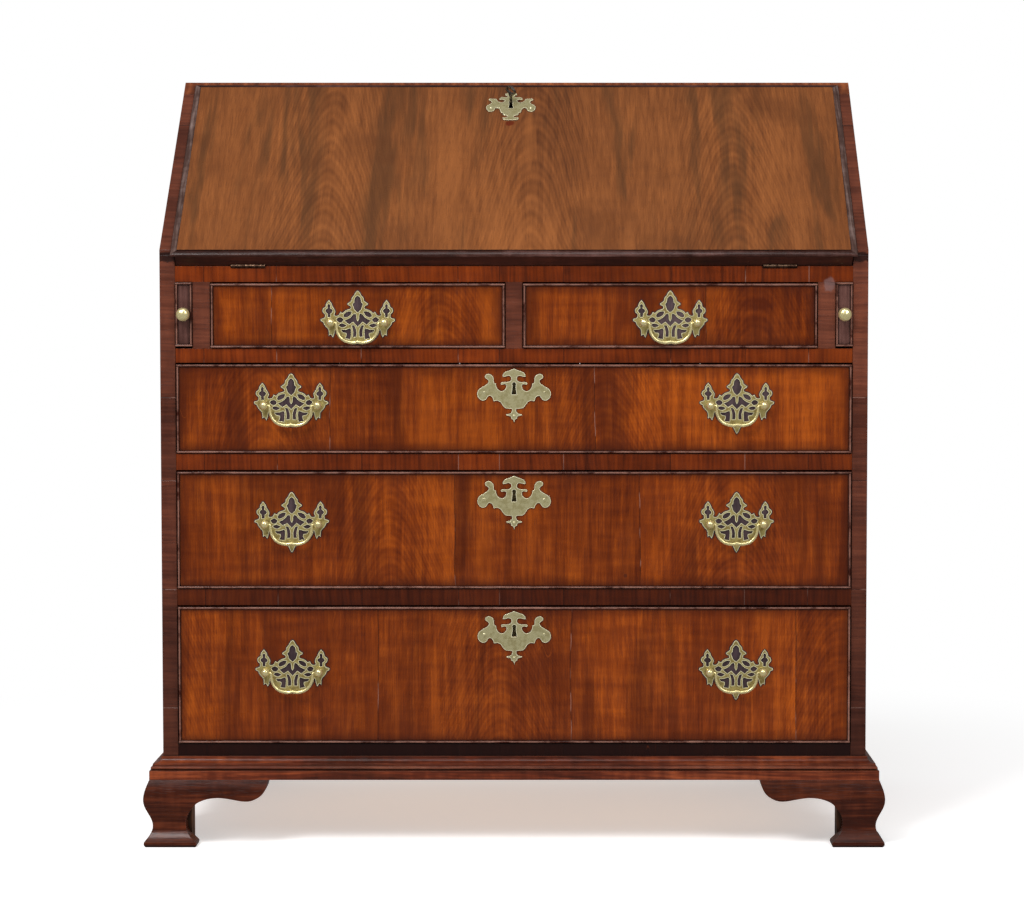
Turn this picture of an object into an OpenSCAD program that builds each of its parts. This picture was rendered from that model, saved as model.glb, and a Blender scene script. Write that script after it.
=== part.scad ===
// Slope-front writing desk (bureau): a chest of two short and three long drawers under a
// hinged fall that rests open on two lopers, with a nest of pigeonholes and small drawers.
// +Z is up and the front faces -Y. The origin is on the floor under the middle of the desk.
// Inside most modules y is measured back from the case's front plane, and carcase() shifts
// the result to the origin. On the slope, (x, y, z) are across, up the slope and outward.

/* [Case] */
// Width of the case over its sides
case_w = 965; // [700:1:1300]
// Depth of the case from its front plane to its back
case_d = 525; // [430:1:700]
// Clear height inside, from the writing surface to the underside of the top
nest_h = 252; // [200:1:310]
// Angle of the slope above level
slope_angle = 43; // [38:0.5:50]
// Thickness of the sides
side_t = 21; // [16:1:28]
// Thickness of the top board
top_t = 19; // [14:1:26]
// Thickness of the bottom board
bottom_t = 22; // [16:1:28]
// Thickness of the back boards
back_t = 10; // [7:1:14]
// Number of back boards
back_count = 5; // [3:1:8]
// Depth from front to back of the rails
rail_d = 60; // [45:1:90]
// Thickness of the dust boards
dust_t = 8; // [5:1:12]
// Width of the drawer runners
runner_w = 20; // [14:1:30]

/* [Fronts] */
// Height of the top rail, which is level with the writing surface
top_rail_h = 22; // [18:1:28]
// Height of the opening for the short drawers and the lopers
short_h = 90; // [80:1:120]
// Height of the rail under the short drawers
rail_1_h = 20; // [16:1:28]
// Height of the upper long drawer's opening
upper_h = 123.5; // [104:0.5:160]
// Height of the rail under the upper long drawer
rail_2_h = 23; // [16:1:30]
// Height of the middle long drawer's opening
middle_h = 162.5; // [120:0.5:200]
// Height of the rail under the middle long drawer
rail_3_h = 23; // [16:1:30]
// Height of the lower long drawer's opening
lower_h = 190; // [140:1:240]
// Width of the upright between the short drawers
divider_w = 23; // [16:1:32]
// Width of the upright beside each loper
post_w = 24; // [16:1:32]

/* [Lopers] */
// Width of a loper
loper_w = 22.5; // [16:0.5:32]
// Space left behind a loper
loper_back_gap = 85; // [40:1:110]
// Length of a loper that stays in the case when it is out
loper_hold = 130; // [110:1:200]
// Height of the slip that a loper runs on
loper_slip = 2; // [1:0.1:5]
// Diameter of a loper's knob
loper_knob_d = 18.5; // [12:0.5:21]
// Radius of the peg that stops a loper
peg_r = 4; // [3:0.5:5]

/* [Drawers] */
// Gap between a drawer and its opening at each side
drawer_gap = 1.2; // [0.8:0.1:2]
// Gap under a drawer
drawer_lift = 0.7; // [0.4:0.1:1.5]
// Gap over a drawer
drawer_head = 1.8; // [0.8:0.1:2.5]
// Thickness of the drawer fronts
front_t = 20; // [16:1:26]
// Thickness of the drawer sides and backs
lining_t = 9; // [6:1:13]
// Thickness of the drawer bottoms
drawer_bottom_t = 7; // [5:1:10]
// Space left behind a drawer
drawer_back_gap = 35; // [15:1:60]
// Thickness of the bead round each drawer
bead_t = 3; // [2:0.25:4]
// How far the bead stands proud of the drawer
bead_proud = 3; // [1.5:0.25:4]
// How deep the bead is let into the drawer's edge
bead_in = 9; // [6:1:14]

/* [Fall] */
// Thickness of the fall between the sides
fall_t = 16; // [13:0.5:22]
// Thickness of the lip and field that stand over the sides
lip_t = 5; // [4:0.5:9]
// How far the lip reaches over each side
lip_side = 5.5; // [3:0.5:9]
// How far the lip reaches over the top board
lip_top = 20; // [8:1:22]
// Width of the moulded edge round the field
thumb_w = 9; // [6:0.5:14]
// Gap between the fall and the sides
fall_gap = 1.5; // [1:0.1:3]
// Gap at the fall's lower edge and under the writing surface
fall_foot_gap = 0.5; // [0.4:0.1:1]
// Middle of the fall lock, across the fall
lock_x = -8; // [-40:1:40]
// Distance of the key's axis from the top of the fall's board
key_down = 24; // [20:1:34]
// Thickness of the sheet of the brass plates
plate_t = 1.4; // [1:0.1:2.4]
// How far the lock's bolt moves
bolt_travel = 8; // [5:0.5:8]

/* [Hinges] */
// Length of a hinge
hinge_l = 46; // [36:1:70]
// Distance of each hinge's middle from the middle of the fall
hinge_x = 362; // [240:1:420]
// Length of a hinge leaf from the pin
leaf_l = 33; // [24:1:42]
// Thickness of a hinge leaf
leaf_t = 2; // [1.5:0.1:3]
// Radius of the hinge's barrel
barrel_r = 2.6; // [2.2:0.1:3.4]
// Radius of the hinge's pin
pin_r = 1.1; // [0.9:0.1:1.4]

/* [Handles] */
// Distance between the two posts of a handle
post_pitch = 72.8; // [64:0.2:90]
// Height of a handle's plate, without the drop under its foot
plate_h = 72.4; // [60:0.4:76]
// Height of a short drawer's handle below the top of its opening
short_handle_down = 55; // [48:1:60]
// Distance of each long drawer's handle from the middle
handle_x = 304; // [220:1:340]
// Height of the upper handles below the top of their opening
upper_handle_down = 57.7; // [50:0.1:70]
// Height of the middle handles below the top of their opening
middle_handle_down = 73.3; // [55:0.1:90]
// Height of the lower handles below the top of their opening
lower_handle_down = 91.1; // [60:0.1:110]
// Diameter of a post's ball
ball_d = 11.2; // [8:0.2:14]
// Distance of a ball's middle from the drawer's face
ball_out = 11; // [9:0.5:15]
// Radius of a post's shank
shank_r = 2; // [1.5:0.1:3]
// Depth that a bail hangs below its posts
bail_drop = 27.3; // [22:0.1:34]
// Radius of a bail at its ends
bail_r = 1.6; // [1.4:0.1:2]
// Radius of a bail at its middle
bail_mid_r = 2.4; // [1.6:0.1:3]
// Radius of a bail's pins
bail_pin_r = 1.25; // [1:0.05:1.6]
// Height of an escutcheon's keyhole below the top of its opening
escutcheon_down = 36; // [34:1:60]

/* [Base] */
// Height of the feet
foot_h = 92; // [70:1:130]
// Height of the frame between the feet and the case
frame_h = 26; // [20:1:40]
// How far the base moulding laps up the case
moulding_lap = 4.6; // [2:0.1:9]
// Projection of the base moulding
moulding_out = 17; // [12:1:26]
// Largest projection of the feet
foot_out = 24.4; // [17:0.1:34]
// Projection of the feet at their waist
waist_out = 13; // [6:0.5:18]
// Length of a foot's bracket from the case's corner
bracket_l = 146; // [110:1:190]
// Thickness of the feet behind the case's face
bracket_t = 8; // [5:1:14]

/* [Nest] */
// Gap between the closed slope and the front of the nest
nest_gap = 20; // [14:1:40]
// Height of the row of small drawers
inner_h = 62; // [50:1:80]
// Thickness of the nest's boards
nest_t = 6; // [4:1:8]
// Number of pigeonholes
hole_count = 8; // [4:1:10]
// Height of the valances over the pigeonholes
valance_h = 34; // [24:1:46]

/* [Hidden] */
$fn = 48;

// Gap between separate pieces that are glued or nailed together
joint_gap = 0.15;
// A little more than enough for a cut to pass through
over = 1;
// Gap between the fall's lip and the edges that it closes on
lip_rest = 0.2;
// Gap between the top end of the fall's board and the strike, half on each side of ceiling_s
strike_gap = 1.5;
// Height of the fall's inner face off the plane of its hinges' axis
fall_back = 0.3;
// The nest's small drawers, which are one node each
inner_count = 4;

// Pegs that stop the lopers: place behind the case's front, and reach into the channel
peg_u = 80;
peg_in = 5;

// The back edge of the frame under the case, in from its outside
frame_in = 40;

// Blocks and plain brackets of the feet
block_w = 30;
block_up = 1.5;
plain_t = 18;
plain_share = 0.8;

// Hinge knuckles
knuckles = 5;
knuckle_gap = 0.3;
knuckle_root = 0.8;
knuckle_room = 0.6;
pin_clearance = 0.08;

// The fall's lock and its bolt
lock_w = 72;
lock_h = 48;
lock_t = 12.4;
lock_wall = 1.6;
bolt_w = 24;
bolt_t = 4;
bolt_d = 5;
bolt_gap = 0.4;
// Distance of a keyhole's key axis above the middle of the hole
key_up = 7;

// The key: its turned rest angle, shaft, bit and bow
key_turned = 50;
key_shaft_r = 2;
key_out = 15;
bit_t = 1.8;
bit_l = 9;
bow_w = 17;
bow_h = 14;
bow_wire = 3.4;
bow_rim = 2.6;

// Locks of the drawers
drawer_lock_w = 64;
drawer_lock_h = 46;
drawer_lock_t = 11;
drawer_lock_up = 13;
drawer_lock_wall = 1.5;

// Length of the loper knobs' shanks
knob_l = 18;

// Rim of the nut on a handle's post
nut_t = 3.5;
nut_r = 6.4;

// Levels, from the floor up
case_z = foot_h + frame_h;
lower_z = case_z + bottom_t;
rail_3_z = lower_z + lower_h;
middle_z = rail_3_z + rail_3_h;
rail_2_z = middle_z + middle_h;
upper_z = rail_2_z + rail_2_h;
rail_1_z = upper_z + upper_h;
short_z = rail_1_z + rail_1_h;
top_rail_z = short_z + short_h;
writing_z = top_rail_z + top_rail_h;
ceiling_z = writing_z + nest_h;

// Places across and through the case
in_x = case_w / 2 - side_t;
front_y = -(case_d + foot_out) / 2 + foot_out;
in_d = case_d - back_t;
loper_gap = 0.5;
loper_head = 0.3;
channel_x = in_x - loper_w - 2 * loper_gap;
short_x0 = divider_w / 2;
short_x1 = channel_x - post_w;
short_x = (short_x0 + short_x1) / 2;
short_w = short_x1 - short_x0;
drawer_l = in_d - drawer_back_gap;
loper_l = in_d - loper_back_gap;
loper_travel = loper_l - loper_hold;
loper_z = short_z + joint_gap + loper_slip + loper_head;
loper_h = top_rail_z - loper_head - loper_z;

// The slope: distance along it to the ceiling, and the ends of the fall's board and lip
rise = sin(slope_angle);
run = cos(slope_angle);
ceiling_s = (nest_h - fall_t * run) / rise;
strike_s = ceiling_s + joint_gap;
board_s = strike_s - strike_gap;
key_s = board_s - key_down;
lip_s = ceiling_s + lip_top;
lip_w = 2 * (in_x + lip_side);
nest_front = nest_h / tan(slope_angle) + nest_gap;
nest_d = in_d - nest_front;
nest_in = in_x - nest_t;
inner_pitch = (2 * nest_in + nest_t) / inner_count;
hole_pitch = (2 * nest_in + nest_t) / hole_count;
shelf_z = writing_z + inner_h;

// Reach of the outer runners under the short drawers and the lopers
outer_run = in_x - short_x1 + runner_w;

// Levels of the feet's section
toe_out = foot_out;
toe_z = 9.5;
waist_z = 0.3 * foot_h;
belly_z = 0.71 * foot_h;
foot_steps = 26;

// The brackets are drawn for this length and height and grow with the real ones
drawn_l = 144.5;
drawn_foot_h = 92.4;

// The handles' plates are drawn for posts this far apart and grow with the real distance
drawn_pitch = 72.8;
drawn_h = 72.4;
plate_k = post_pitch / drawn_pitch;
plate_v = plate_h / drawn_h;

// How far the plates' openings are filed out beyond the lines they are drawn by
filed = 0.6;

bail_gap = 2.6;
bail_x = post_pitch / 2 - ball_d / 2 - bail_gap;
// A short drawer's keyhole shows through the leaf opening of its plate
short_key_down = short_handle_down - 26 * plate_v;

function on_slope(s, d) = [s * run - d * rise, writing_z + s * rise + d * run];
function slope_u(z, d) = ((z - writing_z - d * run) / rise) * run - d * rise;

// Points of an arc about c, from angle a0 to a1
function arc(c, r, a0, a1, n = 8) =
    [for (i = [0:n]) let (a = a0 + (a1 - a0) * i / n) c + r * [cos(a), sin(a)]];

// A smooth closed outline through p. A point given twice is a sharp corner.
function spline(p, n = 3) = [
    for (i = [0:len(p) - 1])
        let (a = p[(i + len(p) - 1) % len(p)], b = p[i],
             c = p[(i + 1) % len(p)], d = p[(i + 2) % len(p)])
            if (b != c)
                for (k = [0:n - 1]) let (t = k / n)
                    b + (c - a) * t / 2 + (2 * a - 5 * b + 4 * c - d) * t * t / 2
                        + (3 * b - a - 3 * c + d) * t * t * t / 2
];
function flip(p) = [for (i = [len(p) - 1:-1:0]) [-p[i][0], p[i][1]]];

WALNUT = "#6b3a22";
DARK = "#3c1f14";
FALL = "#8a5428";
PINE = "#b98f5a";
BRASS = "#c9b778";
IRON = "#3a3633";

// Moves a piece built from the case's front plane to the desk's origin
module carcase() {
    translate([0, front_y, 0]) children();
}

// Places a piece built as (across, up the slope, outward)
module slope_place() {
    carcase() translate([0, 0, writing_z]) rotate([slope_angle, 0, 0]) children();
}

// Extrudes an outline drawn as (back, up) across the desk, centred on x
module across(w, x = 0) {
    translate([x - w / 2, 0, 0]) rotate([90, 0, 90]) linear_extrude(w) children();
}

// Extrudes an outline drawn as (x, up) forward from depth u
module forward(t, u = 0) {
    translate([0, u, 0]) rotate([90, 0, 0]) linear_extrude(t) children();
}

// A block from corner a to corner b
module block(a, b) {
    translate(a) cube(b - a);
}

// ---------------------------------------------------------------- case

module side_board(side) {
    rebate = back_t;
    carcase() difference() {
        across(side_t, side * (case_w - side_t) / 2)
            polygon([[0, case_z], [0, writing_z + fall_t / run],
                     [slope_u(ceiling_z, fall_t), ceiling_z],
                     [case_d, ceiling_z], [case_d, case_z]]);
        translate([side * in_x, 0, 0])
            block([-side_t / 3, case_d - rebate, case_z - over],
                  [side_t / 3, case_d + over, ceiling_z + over]);
    }
}

module side_left() { color(WALNUT) side_board(-1); }

module side_right() { color(WALNUT) side_board(1); }

// The strike is the fillet under the top board that the lock's bolt enters
module top_board() {
    strike_back = 10;
    strike_l = 20;
    top_d = fall_t - 1;
    pocket = 1;
    color(WALNUT) {
        carcase() across(case_w)
            polygon([[slope_u(ceiling_z, fall_t), ceiling_z],
                     [slope_u(ceiling_z + top_t, fall_t), ceiling_z + top_t],
                     [case_d, ceiling_z + top_t], [case_d, ceiling_z]]);
        carcase() difference() {
            across(2 * in_x)
                polygon([on_slope(strike_s, top_d), on_slope(strike_s, -strike_back),
                         [on_slope(ceiling_s + strike_l, -strike_back)[0],
                          ceiling_z - joint_gap],
                         [slope_u(ceiling_z - joint_gap, top_d), ceiling_z - joint_gap]]);
            translate([lock_x, 0, writing_z])
                rotate([slope_angle, 0, 0]) translate([0, board_s, 0])
                    block([-bolt_w / 2 - pocket, 0, bolt_d - pocket],
                          [bolt_w / 2 + pocket, bolt_travel + pocket,
                           bolt_d + bolt_t + pocket]);
        }
    }
}

module bottom_board() {
    color(WALNUT) carcase()
        block([-in_x, 0, case_z], [in_x, in_d, case_z + bottom_t]);
}

module back_boards() {
    gap = 0.8;
    span = 2 * in_x + 2 * side_t / 3;
    w = span / back_count;
    color(PINE) carcase() for (i = [0:back_count - 1])
        block([-span / 2 + i * w + gap / 2, in_d, case_z],
              [-span / 2 + (i + 1) * w - gap / 2, case_d, ceiling_z]);
}

module top_rail() {
    color(WALNUT) carcase() difference() {
        block([-in_x, 0, top_rail_z], [in_x, rail_d, writing_z]);
        translate([0, 0, writing_z]) hinge_housings(-leaf_t - joint_gap, over);
    }
}

// Cuts both hinges' barrels, and their leaves from height z0 to z1
module hinge_housings(z0, z1) {
    l = hinge_l + 2 * joint_gap;
    for (x = [-hinge_x, hinge_x]) translate([x, 0, 0]) {
        rotate([0, 90, 0]) cylinder(h = l, r = barrel_r + knuckle_room, center = true);
        block([-l / 2, 0, z0], [l / 2, leaf_l + joint_gap, z1]);
    }
}

module writing_board() {
    color(WALNUT) carcase()
        block([-in_x, rail_d, top_rail_z], [in_x, in_d, writing_z]);
}

module drawer_rails() {
    color(WALNUT) carcase()
        for (r = [[rail_1_z, rail_1_h], [rail_2_z, rail_2_h], [rail_3_z, rail_3_h]])
            block([-in_x, 0, r[0]], [in_x, rail_d, r[0] + r[1]]);
}

module uprights() {
    color(WALNUT) carcase() {
        block([-divider_w / 2, 0, short_z], [divider_w / 2, in_d, top_rail_z]);
        for (side = [-1, 1]) {
            translate([side * (channel_x - post_w / 2), 0, 0])
                block([-post_w / 2, 0, short_z], [post_w / 2, in_d, top_rail_z]);
            translate([side * channel_x, peg_u, short_z + short_h / 2])
                rotate([0, side * 90, 0]) translate([0, 0, -over])
                    cylinder(h = over + peg_in, r = peg_r);
        }
    }
}

module dust_boards() {
    color(PINE) carcase() {
        x0 = short_x0 + runner_w;
        x1 = in_x - outer_run;
        for (side = [-1, 1])
            translate([side * (x0 + x1) / 2, 0, rail_1_z + rail_1_h / 2 - dust_t / 2])
                block([-(x1 - x0) / 2, rail_d, 0], [(x1 - x0) / 2, in_d, dust_t]);
        for (r = [[rail_2_z, rail_2_h], [rail_3_z, rail_3_h]])
            translate([0, 0, r[0] + r[1] / 2 - dust_t / 2])
                block([-in_x + runner_w, rail_d, 0], [in_x - runner_w, in_d, dust_t]);
    }
}

module drawer_runners() {
    color(PINE) carcase() {
        block([-short_x0 - runner_w, rail_d, rail_1_z],
              [short_x0 + runner_w, in_d, short_z]);
        for (side = [-1, 1]) {
            translate([side * (in_x - outer_run / 2), 0, 0])
                block([-outer_run / 2, rail_d, rail_1_z], [outer_run / 2, in_d, short_z]);
            translate([side * (channel_x + in_x) / 2, 0, short_z + joint_gap])
                block([-loper_w / 2, rail_d, 0], [loper_w / 2, in_d, loper_slip]);
            for (r = [[rail_2_z, rail_2_h], [rail_3_z, rail_3_h]])
                translate([side * (in_x - runner_w / 2), 0, 0])
                    block([-runner_w / 2, rail_d, r[0]], [runner_w / 2, in_d, r[0] + r[1]]);
        }
    }
}

// ---------------------------------------------------------------- base

// Section of the base moulding, drawn as (outward, up) from the case's face
function moulding_section() =
    let (top = case_z + moulding_lap, o = moulding_out, lip = 2.3, cove = 7.5, step = 1,
         bead_r = 2.6, bead_x = o - 4.4, bead_z = top - 14.6)
    concat(
        [[joint_gap, case_z - joint_gap], [joint_gap, top], [lip, top]],
        arc([lip + cove, top - step], cove, 180, 265, 7),
        [[bead_x, top - cove - 1.5 * step]],
        arc([bead_x, bead_z], bead_r, 90, -90, 6),
        [[o, bead_z - bead_r - step], [o, foot_h], [-frame_in, foot_h],
         [-frame_in, case_z - joint_gap]]
    );

module base_moulding() {
    h = case_w / 2;
    far = case_w;
    mitre = far / 4;
    color(DARK) carcase() {
        // Front strip, mitred at both ends
        intersection() {
            across(far * 2) polygon([for (p = moulding_section()) [-p[0], p[1]]]);
            linear_extrude(case_z + far) polygon([
                [-h - mitre + joint_gap, -mitre], [h + mitre - joint_gap, -mitre],
                [h - mitre - joint_gap, mitre], [-h + mitre + joint_gap, mitre]]);
        }
        // Side strips, mitred at the front and square at the back
        for (turn = [0, 1]) mirror([turn, 0, 0]) intersection() {
            translate([h, case_d, 0]) rotate([90, 0, 0])
                linear_extrude(2 * case_d) polygon(moulding_section());
            linear_extrude(case_z + far) polygon([
                [h - mitre, mitre + joint_gap], [h + mitre, -mitre + joint_gap],
                [h + mitre, case_d], [h - mitre, case_d]]);
        }
        // Back strip of the frame
        block([-h + frame_in + joint_gap, case_d - frame_in, foot_h],
              [h - frame_in - joint_gap, case_d, case_z - joint_gap]);
    }
}

// Projection of the feet at height z: a belly, a waist and a moulded toe
function foot_face(z) =
    z < toe_z ? toe_out - 2.5 * pow((z - toe_z / 2) / (toe_z / 2), 2)
    : z < waist_z ? waist_out
        + (toe_out - 3 - waist_out) * (1 - sin(90 * (z - toe_z) / (waist_z - toe_z)))
    : z < belly_z ? waist_out
        + (foot_out - waist_out) * (1 - cos(180 * (z - waist_z) / (belly_z - waist_z))) / 2
    : moulding_out
        + (foot_out - moulding_out) * cos(90 * (z - belly_z) / (foot_h - belly_z));

// Section of a foot drawn as (outward, up)
function foot_section() = concat(
    [for (i = [0:foot_steps]) let (z = foot_h * i / foot_steps) [foot_face(z), z]],
    [[-bracket_t, foot_h], [-bracket_t, 0]]);

// Outline of a bracket drawn as (along from the corner, up), with its toe, its ankle and
// the scroll of its wing
function bracket_outline() =
    let (k = bracket_l / drawn_l, v = foot_h / drawn_foot_h, end = -2 * foot_out / k)
    [for (p = spline([
        [end, 0], [end, 0], [46, 0], [46, 0], [47.5, 5], [42.5, 10.4], [36, 16.5],
        [32.5, 24], [31.8, 34], [34.5, 43.4], [39, 50.3], [47.7, 60.8], [61.6, 66.8],
        [75.5, 68.6], [86, 68], [98, 66], [110, 63.9], [120.7, 64.2], [131, 68.6],
        [138, 74.7], [142.4, 83.3], [144.5, 92.4], [144.5, 92.4],
        [end, 92.4], [end, 92.4]])) [k * p[0], v * p[1]]];

// One bracket along x from the corner at the origin; its face looks along -y
module bracket(mitre) {
    intersection() {
        translate([-2 * foot_out, 0, 0]) rotate([90, 0, 90])
            linear_extrude(bracket_l + 2 * foot_out)
                polygon([for (p = foot_section()) [-p[0], p[1]]]);
        translate([0, bracket_t + over, 0]) rotate([90, 0, 0])
            linear_extrude(2 * foot_out + bracket_t) polygon(bracket_outline());
        if (mitre) translate([0, 0, -over]) linear_extrude(foot_h + 2 * over)
            polygon([[-3 * foot_out, -3 * foot_out - joint_gap],
                     [3 * foot_out, 3 * foot_out - joint_gap],
                     [bracket_l + over, 3 * foot_out], [bracket_l + over, -3 * foot_out - 1]]);
        else translate([0, -3 * foot_out, -over])
            cube([bracket_l + over, 6 * foot_out, foot_h + 2 * over]);
    }
}

// Two mitred brackets and the block glued behind them, at a front corner
module front_foot() {
    bracket(true);
    mirror([1, -1, 0]) bracket(true);
    block([bracket_t + joint_gap, bracket_t + joint_gap, block_up],
          [bracket_t + block_w, bracket_t + block_w, foot_h]);
}

// A shaped side bracket, a plain bracket across the back and a glued block
module back_foot() {
    plain_l = plain_share * bracket_l;
    mirror([1, -1, 0]) bracket(false);
    block([bracket_t + joint_gap, bracket_t + plain_t, block_up],
          [bracket_t + block_w, bracket_t + plain_t + block_w, foot_h]);
    difference() {
        block([bracket_t + joint_gap, 0, 0], [plain_l, plain_t - joint_gap, foot_h]);
        translate([plain_l, -over, 0]) rotate([-90, 0, 0])
            cylinder(h = plain_t + 2 * over, r = 0.62 * foot_h);
    }
}

module foot_front_left() {
    color(DARK) carcase() translate([-case_w / 2, 0, 0]) front_foot();
}

module foot_front_right() {
    color(DARK) carcase() translate([case_w / 2, 0, 0]) mirror([1, 0, 0]) front_foot();
}

module foot_back_left() {
    color(DARK) carcase() translate([-case_w / 2, case_d, 0]) mirror([0, 1, 0]) back_foot();
}

module foot_back_right() {
    color(DARK) carcase() translate([case_w / 2, case_d, 0]) mirror([0, 1, 0])
        mirror([1, 0, 0]) back_foot();
}

// ---------------------------------------------------------------- hinges

// A leaf from height z0 up, with its knuckles about the x axis; one leaf holds the pin
module hinge_leaf(pinned, z0) {
    pitch = hinge_l / knuckles;
    root = barrel_r + knuckle_root;
    block([-hinge_l / 2, root, z0], [hinge_l / 2, leaf_l, z0 + leaf_t]);
    for (i = [0:knuckles - 1]) if ((i % 2 == 0) == pinned)
        translate([(i - (knuckles - 1) / 2) * pitch, 0, 0]) {
            w = pitch - knuckle_gap;
            difference() {
                union() {
                    rotate([0, 90, 0]) cylinder(h = w, r = barrel_r, center = true);
                    block([-w / 2, 0, z0], [w / 2, root + over, z0 + leaf_t]);
                }
                if (!pinned) rotate([0, 90, 0])
                    cylinder(h = pitch, r = pin_r + pin_clearance, center = true);
            }
        }
    if (pinned) rotate([0, 90, 0])
        cylinder(h = hinge_l - knuckle_gap, r = pin_r, center = true);
}

module case_hinge_leaves() {
    color(BRASS) carcase() for (x = [-hinge_x, hinge_x])
        translate([x, 0, writing_z]) hinge_leaf(true, -leaf_t);
}

module fall_hinge_leaves() {
    color(BRASS) slope_place() for (x = [-hinge_x, hinge_x])
        translate([x, 0, 0]) hinge_leaf(false, fall_back);
}

// ---------------------------------------------------------------- fall

// A keyhole about the middle of its height, with the key's axis key_up above that
module keyhole(grow = 0) {
    neck = 2.2 + grow;
    foot = 3.6 + grow;
    translate([0, key_up]) circle(r = key_shaft_r + 0.7 + grow);
    polygon([[-neck, key_up - 1], [-neck, 2], [-foot, -key_up - grow],
             [foot, -key_up - grow], [neck, 2], [neck, key_up - 1]]);
}

// The board between the sides, and the field that carries the lip over them
module fall_board() {
    field_x = lip_w / 2 - thumb_w - joint_gap;
    field_s = fall_foot_gap + thumb_w + joint_gap;
    core_x = min(field_x, in_x - fall_gap);
    face = fall_t + lip_t;
    color(FALL) slope_place() difference() {
        union() {
            block([-in_x + fall_gap, fall_foot_gap, fall_back],
                  [in_x - fall_gap, board_s, fall_t]);
            block([-core_x, field_s, fall_t - over], [core_x, board_s, face]);
            block([-field_x, field_s, fall_t + lip_rest],
                  [field_x, lip_s - thumb_w - joint_gap, face]);
        }
        hinge_housings(-over, fall_back + leaf_t + joint_gap);
        translate([lock_x, board_s, 0])
            block([-lock_w / 2 - joint_gap, -lock_h - joint_gap, -over],
                  [lock_w / 2 + joint_gap, over, lock_t + joint_gap]);
        translate([lock_x, key_s - key_up, 0]) linear_extrude(face + over) keyhole(0.3);
    }
}

// Section of the fall's edge, drawn as (inward, outward): a rounded edge and a small step
function thumb_section() =
    let (foot = fall_t + lip_rest, step = 1, flat = 1.5, round_h = 3.6,
         top = fall_t + lip_t - step, low = top - round_h)
    concat([[thumb_w, foot], [0, foot], [0, low]],
           [for (i = [1:8]) [(thumb_w - flat) * (1 - cos(90 * i / 8)),
                             low + round_h * sin(90 * i / 8)]],
           [[thumb_w, top]]);

// A length of edge along x whose outer side is at y = 0, mitred inward
module thumb_strip(l) {
    intersection() {
        translate([-l / 2, 0, 0]) rotate([90, 0, 90]) linear_extrude(l)
            polygon(thumb_section());
        linear_extrude(2 * (fall_t + lip_t)) polygon([
            [-l / 2 + joint_gap, 0], [l / 2 - joint_gap, 0],
            [l / 2 - 2 * thumb_w - joint_gap, 2 * thumb_w],
            [-l / 2 + 2 * thumb_w + joint_gap, 2 * thumb_w]]);
    }
}

module fall_moulding() {
    l = lip_s - fall_foot_gap;
    color(DARK) slope_place() {
        translate([0, fall_foot_gap, 0]) thumb_strip(lip_w);
        translate([0, lip_s, 0]) mirror([0, 1, 0]) thumb_strip(lip_w);
        translate([-lip_w / 2, fall_foot_gap + l / 2, 0]) rotate([0, 0, -90]) thumb_strip(l);
        translate([lip_w / 2, fall_foot_gap + l / 2, 0]) rotate([0, 0, 90]) thumb_strip(l);
    }
}

// Left half of the fall's escutcheon from its top round to its foot
function fall_half() = [
    [-2.6, 27.8], [-7.8, 26.7], [-8.5, 23.9], [-5.6, 22.7], [-4.8, 19.3], [-8.5, 18.2],
    [-13, 18.8], [-16.7, 15.3], [-15.9, 13], [-11.5, 13.6], [-8.5, 10.2], [-13, 6.3],
    [-18.9, 9.1], [-21.1, 14.2], [-26.3, 14.8], [-30.7, 15.3], [-31.9, 11.9], [-29.3, 10.8],
    [-27.4, 6.8], [-29.3, 3.4], [-33.7, 0], [-35.6, -5.1], [-33.7, -11.4], [-29.3, -14.2],
    [-24.1, -11.9], [-21.9, -5.7], [-17.4, -6.8], [-15.2, -11.4], [-14.4, -15.9],
    [-11.5, -17], [-10.7, -21.6], [-4.8, -23.9], [-4.8, -27.3], [-10.7, -27.8],
    [-11.1, -30.7], [-8.5, -33]];

// Left half of a drawer's escutcheon from its top round to its foot
function drawer_half() = [
    [0, 28.5], [0, 28.5], [-5.4, 26.1], [-13.2, 23.1], [-15.8, 17.8], [-12.4, 17.4],
    [-8, 18.7], [-4.5, 17.4], [-3.7, 13.9], [-5.4, 11.3], [-9.7, 10], [-15.8, 10],
    [-18, 8.7], [-17.1, 6.5], [-13.2, 7.4], [-10.6, 5.7], [-11.5, 0.9], [-16.7, -2.6],
    [-21.9, 0], [-24.5, 4.4], [-25, 8.3], [-27.6, 9.1], [-28, 15.7], [-30.6, 19.6],
    [-35.4, 21.3], [-39.3, 19.1], [-39.3, 15.7], [-36.7, 13.9], [-34.5, 11.3],
    [-36.7, 7.4], [-42.8, 3.5], [-48, 0], [-50.2, -5.2], [-48.9, -11.3], [-43.7, -15.2],
    [-38.5, -13.9], [-35.2, -9], [-31.5, -9.1], [-28.9, -12.2], [-27.6, -16.1],
    [-23.7, -15.2], [-18.5, -17.4], [-15, -22.6], [-11.5, -25.7], [-6.3, -26.1],
    [-3.2, -26.5], [-2.8, -29.6], [-5.4, -33.1], [-10.6, -33.9], [-9.7, -35.7],
    [-4.5, -36.6], [-4.1, -39.6], [-1, -41.3], [0, -45.7], [0, -45.7]];

// A domed pin through a plate at p, whose shank goes down by l
module plate_pin(p, l) {
    shank = 0.8;
    dome = 2.1;
    sunk = 1.4;
    translate([p[0], p[1], 0]) rotate_extrude($fn = 24)
        polygon(concat([[0, -l], [shank, -l], [shank, plate_t]],
                       arc([0, plate_t - sunk], dome, asin(sunk / dome), 90, 6)));
}

// A flat brass plate with a keyhole and its pins, built outward from z = 0
module escutcheon(half, pins, pin_l) {
    difference() {
        linear_extrude(plate_t) polygon(spline(concat(half, flip(half)), 2));
        translate([0, 0, -over]) linear_extrude(plate_t + 2 * over) keyhole();
    }
    for (p = pins) plate_pin(p, pin_l);
}

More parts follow.
